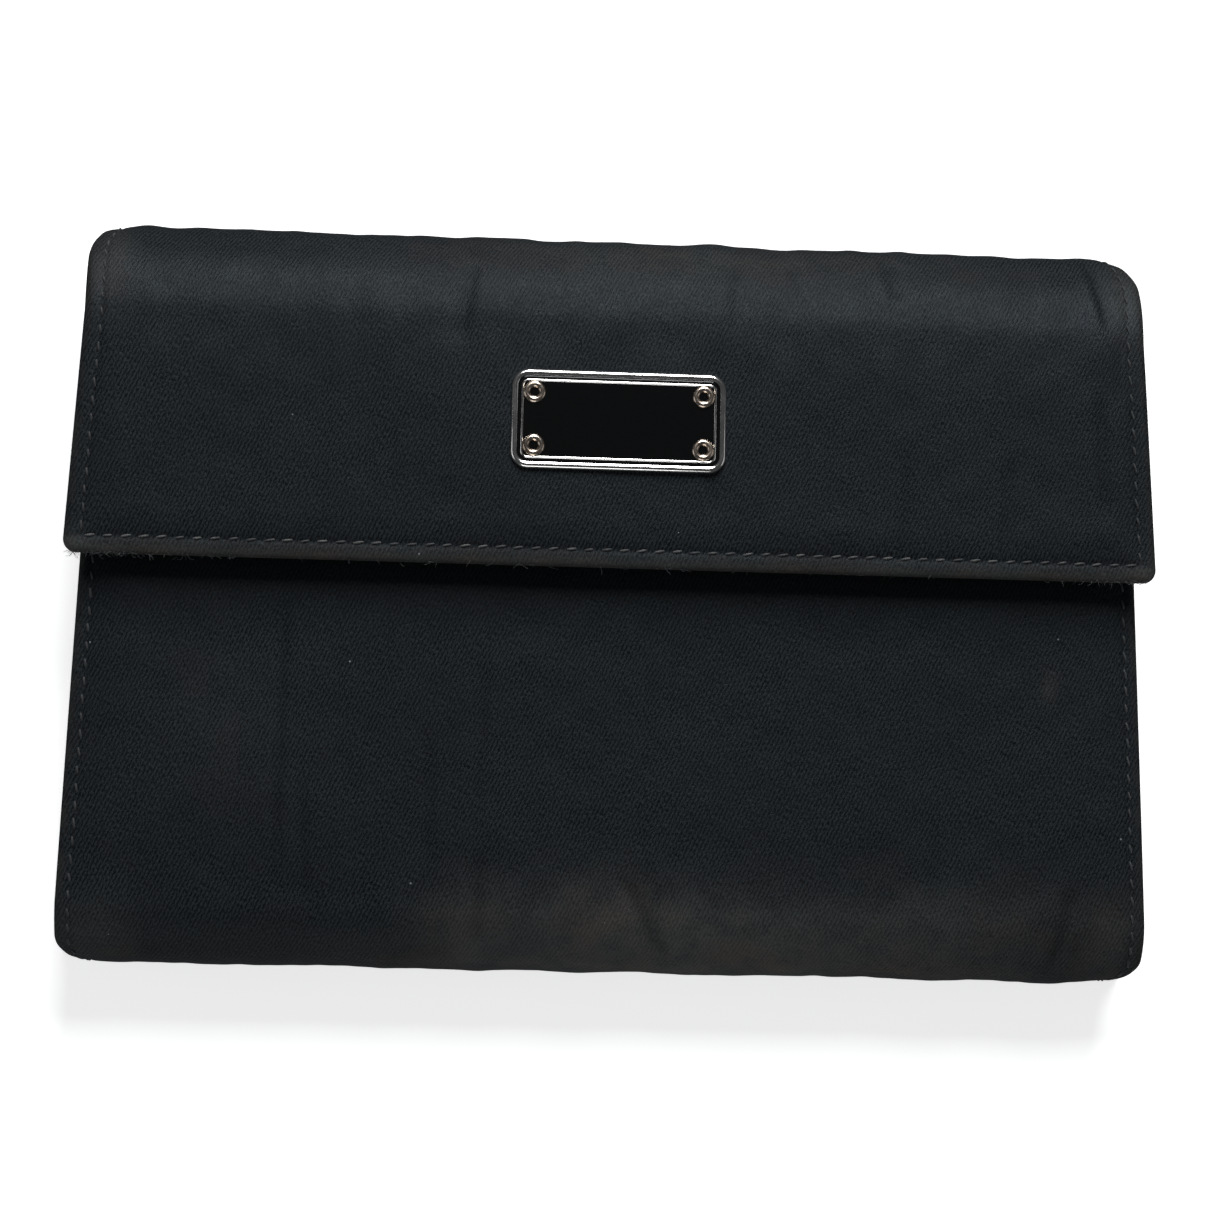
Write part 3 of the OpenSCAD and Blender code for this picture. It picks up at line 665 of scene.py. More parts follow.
def metal_material(name, colour, rough, tint=None):
    """Plated metal with fine rubbing, faint tarnish and small dents."""
    m, t, s = new_material(name)
    at = coords(t, "Object")
    haze = noise_at(t, at, 1.6 * MM, 5.0, 0.65)
    stretched = vector_node(t, "MULTIPLY", at, (1.0, 9.0, 3.0))
    lines = noise_at(t, stretched, 1.1 * MM, 6.0, 0.7)
    tarnish = ramp(t, noise_at(t, at, 2.6 * MM, 4.0), 0.5, 0.75, 0.0, 0.55)
    dull = tint or tuple(c * 0.72 for c in colour[:3]) + (1,)
    hazy = ramp(t, haze, 0.3, 0.75, rough * 0.7, rough * 1.3)
    dress(t, s, mix(t, tarnish, colour, dull), added(t, hazy, scaled(t, lines, rough * SCRATCH)),
          bump(t, added(t, lines, haze), 0.12, 0.02 * MM))
    s.inputs["Metallic"].default_value = 1.0
    return m


def enamel_material():
    """Deep black glossy enamel, very slightly wavy, with a few hairline scuffs."""
    m, t, s = new_material("black_enamel")
    at = coords(t, "Object")
    wave = noise_at(t, at, 3.2 * MM, 2.0)
    scuff = noise_at(t, vector_node(t, "MULTIPLY", at, (1.0, 7.0, 1.0)), 0.9 * MM, 5.0, 0.7)
    colour = mix(t, ramp(t, scuff, 0.6, 0.8), (0.0022, 0.0024, 0.0026, 1), (0.010, 0.010, 0.010, 1))
    dress(t, s, colour, ramp(t, scuff, 0.5, 0.85, 0.07, 0.22), bump(t, wave, 0.12, 0.05 * MM))
    s.inputs["Coat Weight"].default_value = 0.35
    s.inputs["Coat Roughness"].default_value = 0.05
    return m


def board_material():
    m, t, s = new_material("black_board")
    at = coords(t, "Object")
    fibres = noise_at(t, vector_node(t, "MULTIPLY", at, (1.0, 4.0, 4.0)), 1.2 * MM, 5.0, 0.7)
    colour = mix(t, ramp(t, fibres, 0.3, 0.7), (0.010, 0.010, 0.010, 1), (0.024, 0.023, 0.022, 1))
    dress(t, s, colour, ramp(t, fibres, 0.3, 0.7, 0.8, 0.95), bump(t, fibres, 0.4, 0.04 * MM))
    return m


def film_material():
    """Clear plastic window, a little scuffed."""
    m, t, s = new_material("clear_film")
    at = coords(t, "Object")
    scuff = noise_at(t, vector_node(t, "MULTIPLY", at, (1.0, 5.0, 1.0)), 2.2 * MM, 6.0, 0.7)
    colour = mix(t, ramp(t, scuff, 0.4, 0.8), (0.95, 0.96, 0.97, 1), (0.82, 0.84, 0.86, 1))
    dress(t, s, colour, ramp(t, scuff, 0.45, 0.8, 0.06, 0.30),
          bump(t, noise_at(t, at, 9 * MM, 2.0), 0.2, 0.4 * MM))
    s.inputs["Transmission Weight"].default_value = 0.96
    s.inputs["IOR"].default_value = 1.3
    return m


def coil_material():
    m, t, s = new_material("nylon_coil")
    at = coords(t, "Object")
    fine = noise_at(t, at, 0.4 * MM, 3.0)
    colour = mix(t, ramp(t, fine, 0.3, 0.7), (0.012, 0.012, 0.013, 1), (0.030, 0.030, 0.031, 1))
    dress(t, s, colour, ramp(t, fine, 0.3, 0.7, 0.3, 0.45), bump(t, fine, 0.2, 0.02 * MM))
    return m


NYLON = cover_material()
LINING = weave_material("black_lining", (0.0075, 0.0072, 0.0075, 1), (0.024, 0.023, 0.023, 1))
TAPE = weave_material("zip_tape_weave", (0.006, 0.006, 0.006, 1), (0.024, 0.024, 0.024, 1), 0.7 * MM, 0.7,
                      ribs=(0.7, 0.7, 0), cross=(0.7, -0.7, 0))
LEATHER = leather_material()
THREAD = thread_material()
SILVER = metal_material("polished_silver", (0.86, 0.85, 0.82, 1), 0.13)
RIVET = metal_material("rivet_metal", (0.62, 0.52, 0.43, 1), 0.2, (0.30, 0.22, 0.17, 1))
SNAP = metal_material("snap_plate", (0.60, 0.59, 0.56, 1), 0.24)
ZIP = metal_material("zip_plate", (0.34, 0.335, 0.32, 1), 0.30)
ENAMEL = enamel_material()
BOARD = board_material()
FILM = film_material()
COIL = coil_material()

# ---------------------------------------------------------------- the covers
STITCH_FLAP = 2.25 * MM  # the flap's stitch row, from its edge
STITCH_FRONT = 1.75 * MM
CREASES = [  # x, s of one end, x, s of the other, half width, height in mm, and the station s is from
    (62.3, 13.3, 64.4, 1.5, 0.7, -0.42, 0),
    (61.1, 12.5, 63.1, 1.5, 0.6, 0.16, 0),
    (35.6, 11.4, 36.8, 5.0, 0.8, -0.26, 0),
    (33.9, 11.0, 35.0, 3.5, 0.8, 0.18, 0),
    (23.0, 10.6, 22.6, 4.0, 0.8, -0.20, 0),
    (15.6, 11.4, 15.2, 0.0, 0.9, -0.22, 0),
    (-19.2, 8.4, -20.8, -2.5, 0.9, -0.30, 0),
    (-3.0, 12.3, -2.0, 5.0, 1.0, 0.16, 0),
    (64.0, 8.0, 63.2, 24.0, 0.75, -0.26, 1),
    (65.6, 24.0, 65.8, 34.0, 0.9, -0.16, 1),
    (50.8, 3.0, 51.4, 15.0, 0.8, -0.17, 1),
    (37.3, 2.0, 37.9, 14.0, 0.8, -0.17, 1),
    (12.2, 7.0, 12.6, 18.0, 1.0, -0.15, 1),
    (-42.9, 4.0, -42.4, 36.0, 0.62, -0.26, 2),
    (-38.8, 1.0, -39.6, 15.0, 0.65, -0.19, 2),
    (-22.8, 4.0, -23.6, 22.0, 0.7, -0.15, 2),
    (-17.0, 10.0, -16.2, 31.0, 0.65, -0.15, 2),
    (-16.4, -4.0, -16.6, 7.0, 0.9, -0.24, 2),
    (8.2, -6.5, 2.6, 4.0, 0.7, -0.32, 2),
    (1.6, -5.0, 1.2, 3.0, 1.0, 0.18, 2),
    (4.8, 18.0, 5.4, 30.0, 0.7, -0.12, 2),
    (42.4, 1.0, 42.8, 12.0, 0.9, -0.15, 2),
    (58.6, -6.0, 60.6, 4.0, 0.7, -0.26, 2),
]
CREASE_FROM = [S_FLAP_END, 0.0, S_FRONT]
SPINE_SWELL = (  # the folds bulge a little, from, to and by how much
    (S_TOP_WALL - 8.5 * MM, S_TOP_WALL_END, 0.75 * MM),
    (S_BOTTOM_WALL, S_BOTTOM_WALL_END, 0.05 * MM),
)


def creased(x, s):
    """Height of the cloth's creases at a plan point, in mm."""
    total = 0.0 * (x + s)
    for x0, s0, x1, s1, wide, high, station in CREASES:
        p = np.array([x0, s0 + CREASE_FROM[station] / MM])
        d = np.array([x1 - x0, s1 - s0])
        dx, ds = x / MM - p[0], s / MM - p[1]
        share = (dx * d[0] + ds * d[1]) / (d @ d)
        off = np.abs(dx * d[1] - ds * d[0]) / math.hypot(*d)
        total = total + high * np.exp(-((off / wide) ** 2)) * window(share, 0.15, 0.85, 0.3)
    return total


def groove(inset, row):
    return -0.13 * MM * np.exp(-(((inset - row) / (0.42 * MM)) ** 2))


def roll(s, far, near, end, drop):
    """The face sinks as it nears a fold: from level at far, steepest at near, back on its path at end."""
    rise = np.clip((s - far) / (near - far), 0, 1) ** 2
    fall = np.clip((s - near) / (end - near), 0, 1)
    return -drop * rise * (1 - fall**2) ** 2


def rolled(s):
    top = roll(s, S_FLAP_END - 9 * MM, S_FLAP_END + 3 * MM, S_TOP_WALL + 2 * MM, 0.5 * MM)
    low = roll(-s, -(S_FRONT + 15 * MM), -(S_FRONT - 3 * MM), -(S_BOTTOM_WALL_END - 2 * MM), 0.5 * MM)
    return top + low


def cover_relief(x, s, inset):
    """How far the cover's face stands off its path: padding, puckers at the folds, creases, sewing."""
    on_back = window(s, S_BACK, S_BACK_END, 3 * MM)
    loose = 1 - 0.75 * on_back
    near_side = smooth((inset - 0.8 * MM) / (5.0 * MM))
    h = 0.34 * MM * near_side * (1 - on_back) + rolled(s)
    h = h + 0.10 * MM * ripple(x, s, 3, 30 * MM) * near_side * loose
    h = h + 0.035 * MM * ripple(x, s, 11, 7 * MM) * near_side * loose
    h = h + 0.022 * MM * ripple(x, s * 0.12, 17, 3.4 * MM) * near_side * loose
    for first, last, seed, size in (
        (S_FLAP_END - 1 * MM, S_TOP_WALL + 6 * MM, 21, 9.5 * MM),
        (S_BOTTOM_WALL_END - 4 * MM, S_FRONT + 1 * MM, 23, 9.0 * MM),
    ):
        near_fold = window(s, first, last, 5 * MM)
        h = h + near_fold * 0.15 * MM * ripple(x, 0 * s, seed, size, 5)
        h = h + near_fold * 0.07 * MM * ripple(x, s * 0.3, seed + 1, 4.5 * MM)
    for first, last, swell in SPINE_SWELL:
        rise = np.sin(math.pi * np.clip((s - first) / (last - first), 0, 1)) ** 2
        h = h + swell * rise * smooth(inset / (5 * MM) + 0.35)
    h = h + creased(x, s) * MM
    sewn_low = np.where(s > S_BACK_END, groove(inset, STITCH_FRONT), 0)
    h = h + np.where(s < S_BACK, groove(inset, STITCH_FLAP), sewn_low)
    return np.where(on_back > 0, np.minimum(h - 0.10 * MM * on_back, (1 - on_back) * MM), h)


WEAR_AND_PAINTED_LIGHT = [  # x, s, reach across, reach along, strength, and the station s is from
    # the next five patches, on the bottom fold, are dust and also painted light, which brightens the fold
    # where it turns away from the lamps
    (13, -5, 24, 6.5, 0.92, 2),
    (46, -4, 15, 8.0, 0.46, 2),
    (-18, -3, 6, 6.5, 0.42, 2),
    (0, 0, 11, 6.0, 0.30, 2),
    (-2, -8, 58, 4.0, 0.38, 2),
    (66, -3, 4, 6.0, 0.50, 2),
    (-66, -5, 5, 5.0, 0.40, 2),
    (57.5, 31, 1.0, 2.0, 0.30, 2),
    (-50, 24, 9, 9.0, 0.10, 2),
    # dust and also a painted highlight on the top fold
    (9, 11, 36, 5.0, 0.36, 0),
    (67, 7, 3, 7.0, 0.50, 0),
    (-66, 7, 3, 7.0, 0.40, 0),
    (-70, 0, 3, 2.5, 0.60, 1),
    (70, 0, 3, 2.5, 0.50, 1),
]
EDGE_WEAR, RIM_WEAR = 0.28, 0.80  # along the flap's turned edge, and at its very rim
FOLD_WEAR = 0.22
PAINTED_SHADOW_REACH = 12.5 * MM  # how far below the flap's edge the painted shadow reaches
CREASE_SHADE = 1.6  # painted shade per mm of crease depth


def cover_dust_and_painted_light(x, s):
    total = 0.05 + 0 * x
    for wx, ws, across, forward, strength, station in WEAR_AND_PAINTED_LIGHT:
        dx, ds = (x / MM - wx) / across, ((s - CREASE_FROM[station]) / MM - ws) / forward
        total = total + strength * np.exp(-(dx**2 + ds**2))
    total = total + EDGE_WEAR * smooth((STITCH_FLAP - s) / (0.5 * MM))
    total = total + RIM_WEAR * smooth((1.3 * MM - s) / (1.3 * MM))
    folds = [S_TOP_WALL_END, S_BACK, S_BACK_END, S_BOTTOM_WALL]
    rubbed = sum(np.exp(-(((s - f) / (2.5 * MM)) ** 2)) for f in folds)
    return np.clip(total + FOLD_WEAR * rubbed, 0, 1)


def cover_painted_shade(x, s):
    """Painted shade, 0 to 1: darker cloth in its creases, and a painted shadow below the flap's edge."""
    painted_shadow = smooth((s - (S_FLAP_LINE - PAINTED_SHADOW_REACH)) / PAINTED_SHADOW_REACH)
    return np.clip(0.75 * painted_shadow + CREASE_SHADE * np.maximum(-creased(x, s), 0), 0, 1)


def surface_of(relief, half, span, free):
    """Relief at a plan point, finding the distance to the edges itself."""

    def f(x, b):
        inset = half(b) - np.abs(x)
        if free[0]:
            inset = np.minimum(inset, b - span[0])
        if free[1]:
            inset = np.minimum(inset, span[1] - b)
        return relief(x, b, inset)

    return f


COVERS = {
    "cover_flap": ((0.0, S_TOP_CUT), (True, False), ("flap_cover",)),
    "cover_back_upper": ((S_TOP_CUT, S_BACK_CUT), (False, False), ("top_spine_cover",)),
    "cover_back_lower": ((S_BACK_CUT, S_BOTTOM_CUT), (False, False), ("back_cover", "bottom_spine_cover")),
    "cover_front": ((S_BOTTOM_CUT, S_END), (False, True), ("front_cover", "front_tuck_cover")),
}
BENDS = {  # the two bodies of each cover piece, and where its bend starts and ends
    "cover_flap": ("top_spine", "flap", (0, WALL_Y, FLAP_Z - TOP_R), (0, BOARD_Y, BOARD_Z)),
    "cover_back_upper": ("back", "top_spine", (0, WALL_Y - BACK_R, 0), (0, WALL_Y, BACK_R)),
    "cover_back_lower": ("back", "bottom_spine", (0, BACK_R - WALL_Y, 0), (0, -WALL_Y, BACK_R)),
    "cover_front": ("bottom_spine", "front", (0, -WALL_Y, FRONT_Z - LOW_R), (0, LOW_R - WALL_Y, FRONT_Z)),
}


def side_run(first, last, row, side):
    return [(side * (float(cover_half(s)) - row), s) for s in spread(first, last, 1.5 * MM)]


def cover_stitch_runs(name, span):
    if name == "cover_flap":
        row = STITCH_FLAP
        left, right = side_run(row, span[1], row, -1), side_run(row, span[1], row, 1)
        return [left, right, [left[0], right[0]]], (0.93, 0.93, 0.42)
    if name == "cover_front":
        row = STITCH_FRONT
        left, right = side_run(span[0], span[1] - row, row, -1), side_run(span[0], span[1] - row, row, 1)
        return [left, right, [left[-1], right[-1]]], (0.9, 0.9, 0.8)
    row = STITCH_FRONT
    return [side_run(span[0], span[1], row, -1), side_run(span[0], span[1], row, 1)], (0.8, 0.8)


COVER_STEP = 0.6 * MM


def build_covers():
    turned = math.pi * EDGE + HEM
    for name, (span, free, nodes) in COVERS.items():
        bend = BENDS[name]
        obj = soft_sheet(name, span, cover_half, wrap, NYLON, cover_relief, free, step=COVER_STEP,
                         values={"dust_and_painted_light": cover_dust_and_painted_light, "shade": cover_painted_shade})
        surface = surface_of(cover_relief, cover_half, span, free)
        runs, fades = cover_stitch_runs(name, span)
        rows = stitch_rows("stitching_" + name[6:], runs, wrap, surface, THREAD, fades=fades)
        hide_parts(*nodes)
        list(bend)
        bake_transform(obj)
        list(bend)
        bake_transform(rows)
        width = 2 * float(cover_half((span[0] + span[1]) / 2)) + 2 * turned
        length = span[1] - span[0] + turned * (True in free)


FRAY = (  # worn fibres on the flap's edge: x of the middle and spread in mm, and how many
    (-62.0, 8.0, 90),
    (66.0, 4.0, 34),
    (0.0, 34.0, 50),
)
FRAY_END = 69.6  # mm, the furthest fibre from the middle
FRAY_FADE, FRAY_SEED = 0.35, 91
FIBRE_POINTS, FIBRE_SIDES = 6, 4


def fibre(start, way, bend, length, radius):
    """One thin curved fibre: rings of points from its root to its tip."""
    t = np.linspace(0, 1, FIBRE_POINTS)[:, None]
    centre = start + length * (t * way + 0.3 * np.sin(t * math.pi * 0.8) * bend)
    ahead = np.gradient(centre, axis=0)
    ahead /= np.linalg.norm(ahead, axis=1, keepdims=True)
    aside = np.cross(ahead, (0.0, 0.0, 1.0))
    aside /= np.maximum(np.linalg.norm(aside, axis=1, keepdims=True), 1e-9)
    third = np.cross(aside, ahead)
    turn = np.arange(FIBRE_SIDES) * TAU / FIBRE_SIDES
    thin = radius * (1 - 0.5 * t)[:, :, None]
    ring = np.cos(turn)[None, :, None] * aside[:, None] + np.sin(turn)[None, :, None] * third[:, None]
    return (centre[:, None] + thin * ring).reshape(-1, 3)


def build_fray():
    """Short fibres that stand out of the flap's rubbed edge, most of them near its corners."""
    rng = np.random.RandomState(FRAY_SEED)
    verts, faces = [], []
    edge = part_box("flap_cover")[0].y
    for middle, spread_x, count in FRAY:
        for _ in range(count):
            x = float(np.clip(rng.normal(middle, spread_x), -FRAY_END, FRAY_END)) * MM
            root = np.array([x, edge + rng.uniform(-0.02, 0.35) * MM, FLAP_Z - rng.uniform(0.15, 1.0) * MM])
            way = np.array([rng.uniform(-1.1, 1.1), -rng.uniform(0.15, 0.75), rng.uniform(-0.15, 0.5)])
            bend = rng.uniform(-1, 1, 3)
            faces += tube_faces(FIBRE_POINTS, FIBRE_SIDES, len(verts) * FIBRE_POINTS * FIBRE_SIDES)
            long = rng.uniform(0.35, 1.25) * MM
            radius = rng.uniform(0.018, 0.030) * MM
            verts.append(fibre(root, way / np.linalg.norm(way), bend, long, radius))
    verts = np.concatenate(verts)
    obj = make_object("frayed_edge", verts, faces, THREAD, values={"fade": np.full(len(verts), FRAY_FADE)})
    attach(obj, "flap")


build_covers()
build_fray()

# ---------------------------------------------------------------- flat sheets: linings, pockets, walls
def box_of(node):
    lo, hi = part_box(node)
    return np.array(lo), np.array(hi)


AXES = {  # which way a flat sheet's outer side looks: across, forward and outward directions
    "up": ((1, 0, 0), (0, 1, 0)),
    "down": ((-1, 0, 0), (0, 1, 0)),
    "toward_front": ((1, 0, 0), (0, 0, 1)),
    "toward_back": ((-1, 0, 0), (0, 0, 1)),
    "left_in": ((0, -1, 0), (0, 0, 1)),
    "right_in": ((0, 1, 0), (0, 0, 1)),
}


def face_of(node, looks):
    """(place, half width, length) of the flat face of a node that looks that way."""
    lo, hi = box_of(node)
    across, forward = (np.array(v, float) for v in AXES[looks])
    out = np.cross(across, forward)
    middle = (lo + hi) / 2
    size = hi - lo
    length = abs(size @ forward)
    origin = middle + out * abs(size @ out) / 2 - forward * length / 2
    return flat_place(origin, across, forward), abs(size @ across) / 2, length


def even(half):
    return lambda b: half + 0 * b


def cloth_face(name, node, looks, material, body, relief=level, thick=0.3 * MM, edge_depth=0.3 * MM,
               hole=None, near=PLAIN_EDGE, step=1.3 * MM, half=None, flat=None,
               corner=0.8 * MM, rows=(), declare=True):
    """A sheet standing for one CAD node, on its face, with optional stitch rows at an inset."""
    place, half_width, length = face_of(node, looks)
    half = half or even(half_width)
    span, free = (0.0, length), (True, True)
    obj = soft_sheet(name, span, half, place, material, relief, free, corner, edge_depth, 0.0, near, step,
                     thick, hole)
    stand_in(obj, node, body)
    made = []
    if rows:
        surface = surface_of(relief, half, span, free)
        made = [stitch_rows(name + "_stitching", rows, place, surface, THREAD, body, size=0.8)]
    if declare:
        flat = flat or (2 * float(half(0.0)), length)


def soft_relief(seed, high=0.05, size=14, puff=0.0):
    """A little unevenness, and a soft swelling away from the edges, in mm."""

    def relief(x, b, inset):
        rise = smooth(inset / (6 * MM))
        return (high * ripple(x, b, seed, size * MM) + puff) * MM * rise

    return relief


def frame_run(half, length, inset):
    """Stitch rows at an inset from the four edges of a flat sheet."""
    w, a, z = half - inset, inset, length - inset
    return [[(-w, a), (-w, z)], [(w, a), (w, z)], [(-w, a), (w, a)], [(-w, z), (w, z)]]


def build_flap_inside():
    """The flap's board and lining, laid along its cover's path."""
    first = HEM
    for name, node, depth, thick, material, slot, margin, looks in (
        ("flap_stiffener", "flap_board", 0.45 * MM, 0.7 * MM, BOARD, "stiffener", 1.6 * MM, 1),
        ("flap_inner_lining", "flap_lining", 1.62 * MM, 0.3 * MM, LINING, "lining", 1.35 * MM, -1),
    ):

        def place(x, b, h, depth=depth, looks=looks):
            return wrap(looks * x, b, rolled(b) - depth + looks * h)

        relief = soft_relief(31, 0.06, 20) if looks < 0 else level
        half = lambda b, margin=margin: cover_half(b) - margin
        last = S_TOP_WALL - 2.4 * MM if looks < 0 else S_BOARD_END - 0.5 * MM
        obj = soft_sheet(name, (first, last), half, place, material, relief, (True, True),
                         1.2 * MM, 0.3 * MM, 0.0, PLAIN_EDGE, 1.0 * MM, thick)
        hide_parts(node)
        if looks < 0:
            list(BENDS["cover_flap"])
            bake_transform(obj)
            2 * float(cover_half(first))
        else:
            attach(obj, "flap")


def build_linings():
    turn = 1.35 * MM
    cloth_face("front_inner_lining", "front_lining", "down", LINING, "front",
               soft_relief(33, 0.03), half=lambda b: cover_half(S_FRONT + b - 1 * MM) - turn)
    cloth_face("tuck_inner_lining", "front_tuck_lining", "down", LINING, "front",
               soft_relief(35, 0.06, 18), half=lambda b: cover_half(S_FLAP_LINE - 1 * MM + b) - turn,
               corner=1.2 * MM)
    for name, node, seed, high, size in (
        ("back_inner_lining", "back_lining", 37, 0.03, 14),
        ("note_divider_sheet", "note_divider", 39, 0.1, 25),
        ("card_backing", "card_panel", 41, 0.03, 14),
    ):
        cloth_face(name, node, "up", LINING, "back", soft_relief(seed, high, size))


NARROWEST_SHEET = 10 * MM  # the flat length given for the narrow gusset pleats


def build_spine_linings():
    """The linings of the two folds. The top one runs a little way round the corners inside the cover;
    the bottom one stops short of them, where the boards swing."""
    for name, node, body, first, last, seed in (
        ("top_fold_lining", "top_spine_lining", "top_spine",
         S_TOP_WALL - 3.5 * MM, S_TOP_WALL_END + 2.0 * MM, 43),
        ("bottom_fold_lining", "bottom_spine_lining", "bottom_spine",
         S_BOTTOM_WALL - 0.1 * MM, S_BOTTOM_WALL_END + 0.7 * MM, 45),
    ):
        inner = 1.0 * MM
        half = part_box(node)[1].x

        def place(x, b, h):
            return wrap(-x, b, -inner - h)

        relief = soft_relief(seed, 0.06, 12)
        obj = soft_sheet(name, (first, last), even(half), place, LINING, relief, (True, True), 0.8 * MM,
                         0.3 * MM, 0.0, PLAIN_EDGE, 0.9 * MM, 0.25 * MM)
        stand_in(obj, node, body)


POCKET_HEM = 5.0 * MM


def build_card_pockets():
    for i in range(1, 5):
        node = f"card_pocket_{i}"
        lo, hi = box_of(node)
        length, half = hi[1] - lo[1], (hi[0] - lo[0]) / 2

        def relief(x, b, inset, i=i, length=length):
            at_hem = smooth((b - (length - POCKET_HEM)) / (0.5 * MM))
            gape = smooth((b - (length - 9 * MM)) / (9 * MM)) * np.cos(x / half * math.pi / 2)
            sewn = groove(length - b, 4.1 * MM) * 0.5
            uneven = 0.02 * MM * ripple(x, b, 50 + i, 12 * MM)
            return (0.3 * at_hem - 0.3 + 0.12 * gape) * MM + uneven + sewn

        rows = [[(-half + 1.2 * MM, length - 4.1 * MM), (half - 1.2 * MM, length - 4.1 * MM)]]
        for x in (1.1 * MM - half, half - 1.1 * MM):
            rows.append([(x, length - 9.3 * MM), (x, length - 0.8 * MM)])
        cloth_face(f"card_slot_{i}", node, "up", LEATHER, "back", relief, edge_depth=0.4 * MM,
                   thick=0.32 * MM, corner=1.2 * MM, rows=rows)


def build_photo_pocket():
    lo, hi = box_of("photo_pocket")
    half, length = (hi[0] - lo[0]) / 2, hi[1] - lo[1]
    rim = 5.0
    near = [0.3, 0.7, 1.2, 1.8, 2.6, 3.4, 4.3, 4.7, rim]

    def relief(x, b, inset):
        return 0.10 * MM * smooth(inset / (1.5 * MM)) - 0.14 * MM * smooth((inset - 4.1 * MM) / (0.9 * MM))

    runs = frame_run(half, length, 1.6 * MM) + frame_run(half, length, 3.9 * MM)
    cloth_face("photo_frame", "photo_pocket", "up", LEATHER, "back", relief, thick=0.5 * MM,
               edge_depth=0.6 * MM, near=near, hole=rim * MM, corner=1.4 * MM, rows=runs)
    cloth_face("photo_film", "photo_window", "up", FILM, "back",
               lambda x, b, inset: 0.10 * MM * (1 + ripple(x, b, 61, 22 * MM)) * smooth(inset / (5 * MM)),
               thick=0.15 * MM, edge_depth=0.2 * MM, declare=False)


def build_bindings():
    """Folded leather strips round the note compartment, a little uneven."""
    for node, axis in (("left_edge_binding", 1), ("right_edge_binding", 1), ("bottom_edge_binding", 0)):
        lo, hi = box_of(node)
        middle, half = (lo + hi) / 2, (hi - lo) / 2
        wide = half[1 - axis]
        turn = np.linspace(0, TAU, 20, endpoint=False)
        c, s = np.cos(turn), np.sin(turn)
        power = 0.45
        level_part, upright_part = (np.sign(v) * np.abs(v) ** power for v in (c, s))
        ring = np.stack([level_part * wide, upright_part * half[2]], 1)
        at = np.array(spread(-half[axis], half[axis], 1.1 * MM))
        squeeze = 1 - 0.55 * (1 - smooth((half[axis] - np.abs(at)) / (0.7 * MM) + 0.25))
        verts = []
        for a, q in zip(at, squeeze):
            soft = 1 - 0.03 * (1 + ripple(np.array([a]), np.array([0.0]), 63 + axis, 6 * MM)[0])
            p = np.zeros((len(ring), 3))
            p[:, axis], p[:, 1 - axis], p[:, 2] = a, ring[:, 0] * q * soft, ring[:, 1] * q * soft
            verts.append(middle + p)
        way = -1 if axis == 1 else 1
        faces = [face[::way] for face in tube_faces(len(at), len(ring))]
        obj = make_object(node.replace("edge_", "") + "_strip", np.concatenate(verts), faces, LEATHER)
        stand_in(obj, node, "back")


# ---------------------------------------------------------------- coin pocket
PLEAT = 3.2 * MM


def build_gussets():
    for node, looks in (("coin_gusset_left", "left_in"), ("coin_gusset_right", "right_in"),
                        ("coin_gusset_bottom", "toward_back"), ("coin_gusset_top", "toward_front")):
        lo, hi = box_of(node)
        tall = hi[2] - lo[2]

        def relief(x, b, inset, tall=tall):
            fold = 1 - np.abs(2 * b / tall - 1)
            return (PLEAT + 0.15 * MM * ripple(x, b, 71, 9 * MM)) * fold

        half = max(hi[0] - lo[0], hi[1] - lo[1]) / 2
        cloth_face(node.replace("coin_", "") + "_pleat", node, looks, LEATHER, "front", relief,
                   near=[0.25, 0.9, 1.6], step=0.35 * MM if tall < 1 * MM else 0.7 * MM,
                   flat=(2 * half, NARROWEST_SHEET), corner=0.3 * MM)


def build_coin_walls():
    for name, node, seed in (("coin_wall", "coin_pocket_wall", 73), ("coin_band", "coin_pocket_band", 75)):
        lo, hi = box_of(node)
        half, length = (hi[0] - lo[0]) / 2, hi[1] - lo[1]
        puff = soft_relief(seed, 0.10, 16, 0.12)

        def relief(x, b, inset, puff=puff):
            return puff(x, b, inset) + groove(inset, 1.3 * MM) * 0.6

        cloth_face(name, node, "down", LEATHER, "front", relief, 0.35 * MM, 0.45 * MM,
                   near=[0.3, 0.7, 1.05, 1.3, 1.55, 2.0, 2.8], corner=1.0 * MM,
                   rows=frame_run(half, length, 1.3 * MM))


def coil(name, node, lean):
    """A nylon zip coil: one filament wound along x, flattened, its heads towards the other coil."""
    lo, hi = box_of(node)
    middle, half = (lo + hi) / 2, (hi - lo) / 2
    pitch, wire = 1.25 * MM, 0.27 * MM
    turns = int((hi[0] - lo[0]) / pitch)
    steps, sides = 14, 6
    t = np.arange(turns * steps + 1) / steps
    a = TAU * t
    x = lo[0] + wire + t * (hi[0] - lo[0] - 2 * wire) / turns
    reach = half[1] - wire
    y = middle[1] + reach * np.cos(a)
    z = middle[2] + (half[2] - wire) * np.sin(a)
    centre = np.stack([x, y, z], 1)
    ahead = np.gradient(centre, axis=0)
    ahead /= np.linalg.norm(ahead, axis=1, keepdims=True)
    aside = np.cross(ahead, np.array([1.0, 0.0, 0.0]))
    aside /= np.linalg.norm(aside, axis=1, keepdims=True)
    third = np.cross(ahead, aside)
    head = np.maximum(0, lean * np.cos(a)) ** 4
    fat = wire * (1 + 0.35 * head)
    turn = np.arange(sides) * TAU / sides
    verts = []
    for c, u, v, f in zip(centre, aside, third, fat):
        verts.append(c + f * (np.outer(np.cos(turn), u) + np.outer(np.sin(turn), v)))
    obj = make_object(name, np.concatenate(verts), tube_faces(len(centre), sides), COIL)
    stand_in(obj, node, "front")


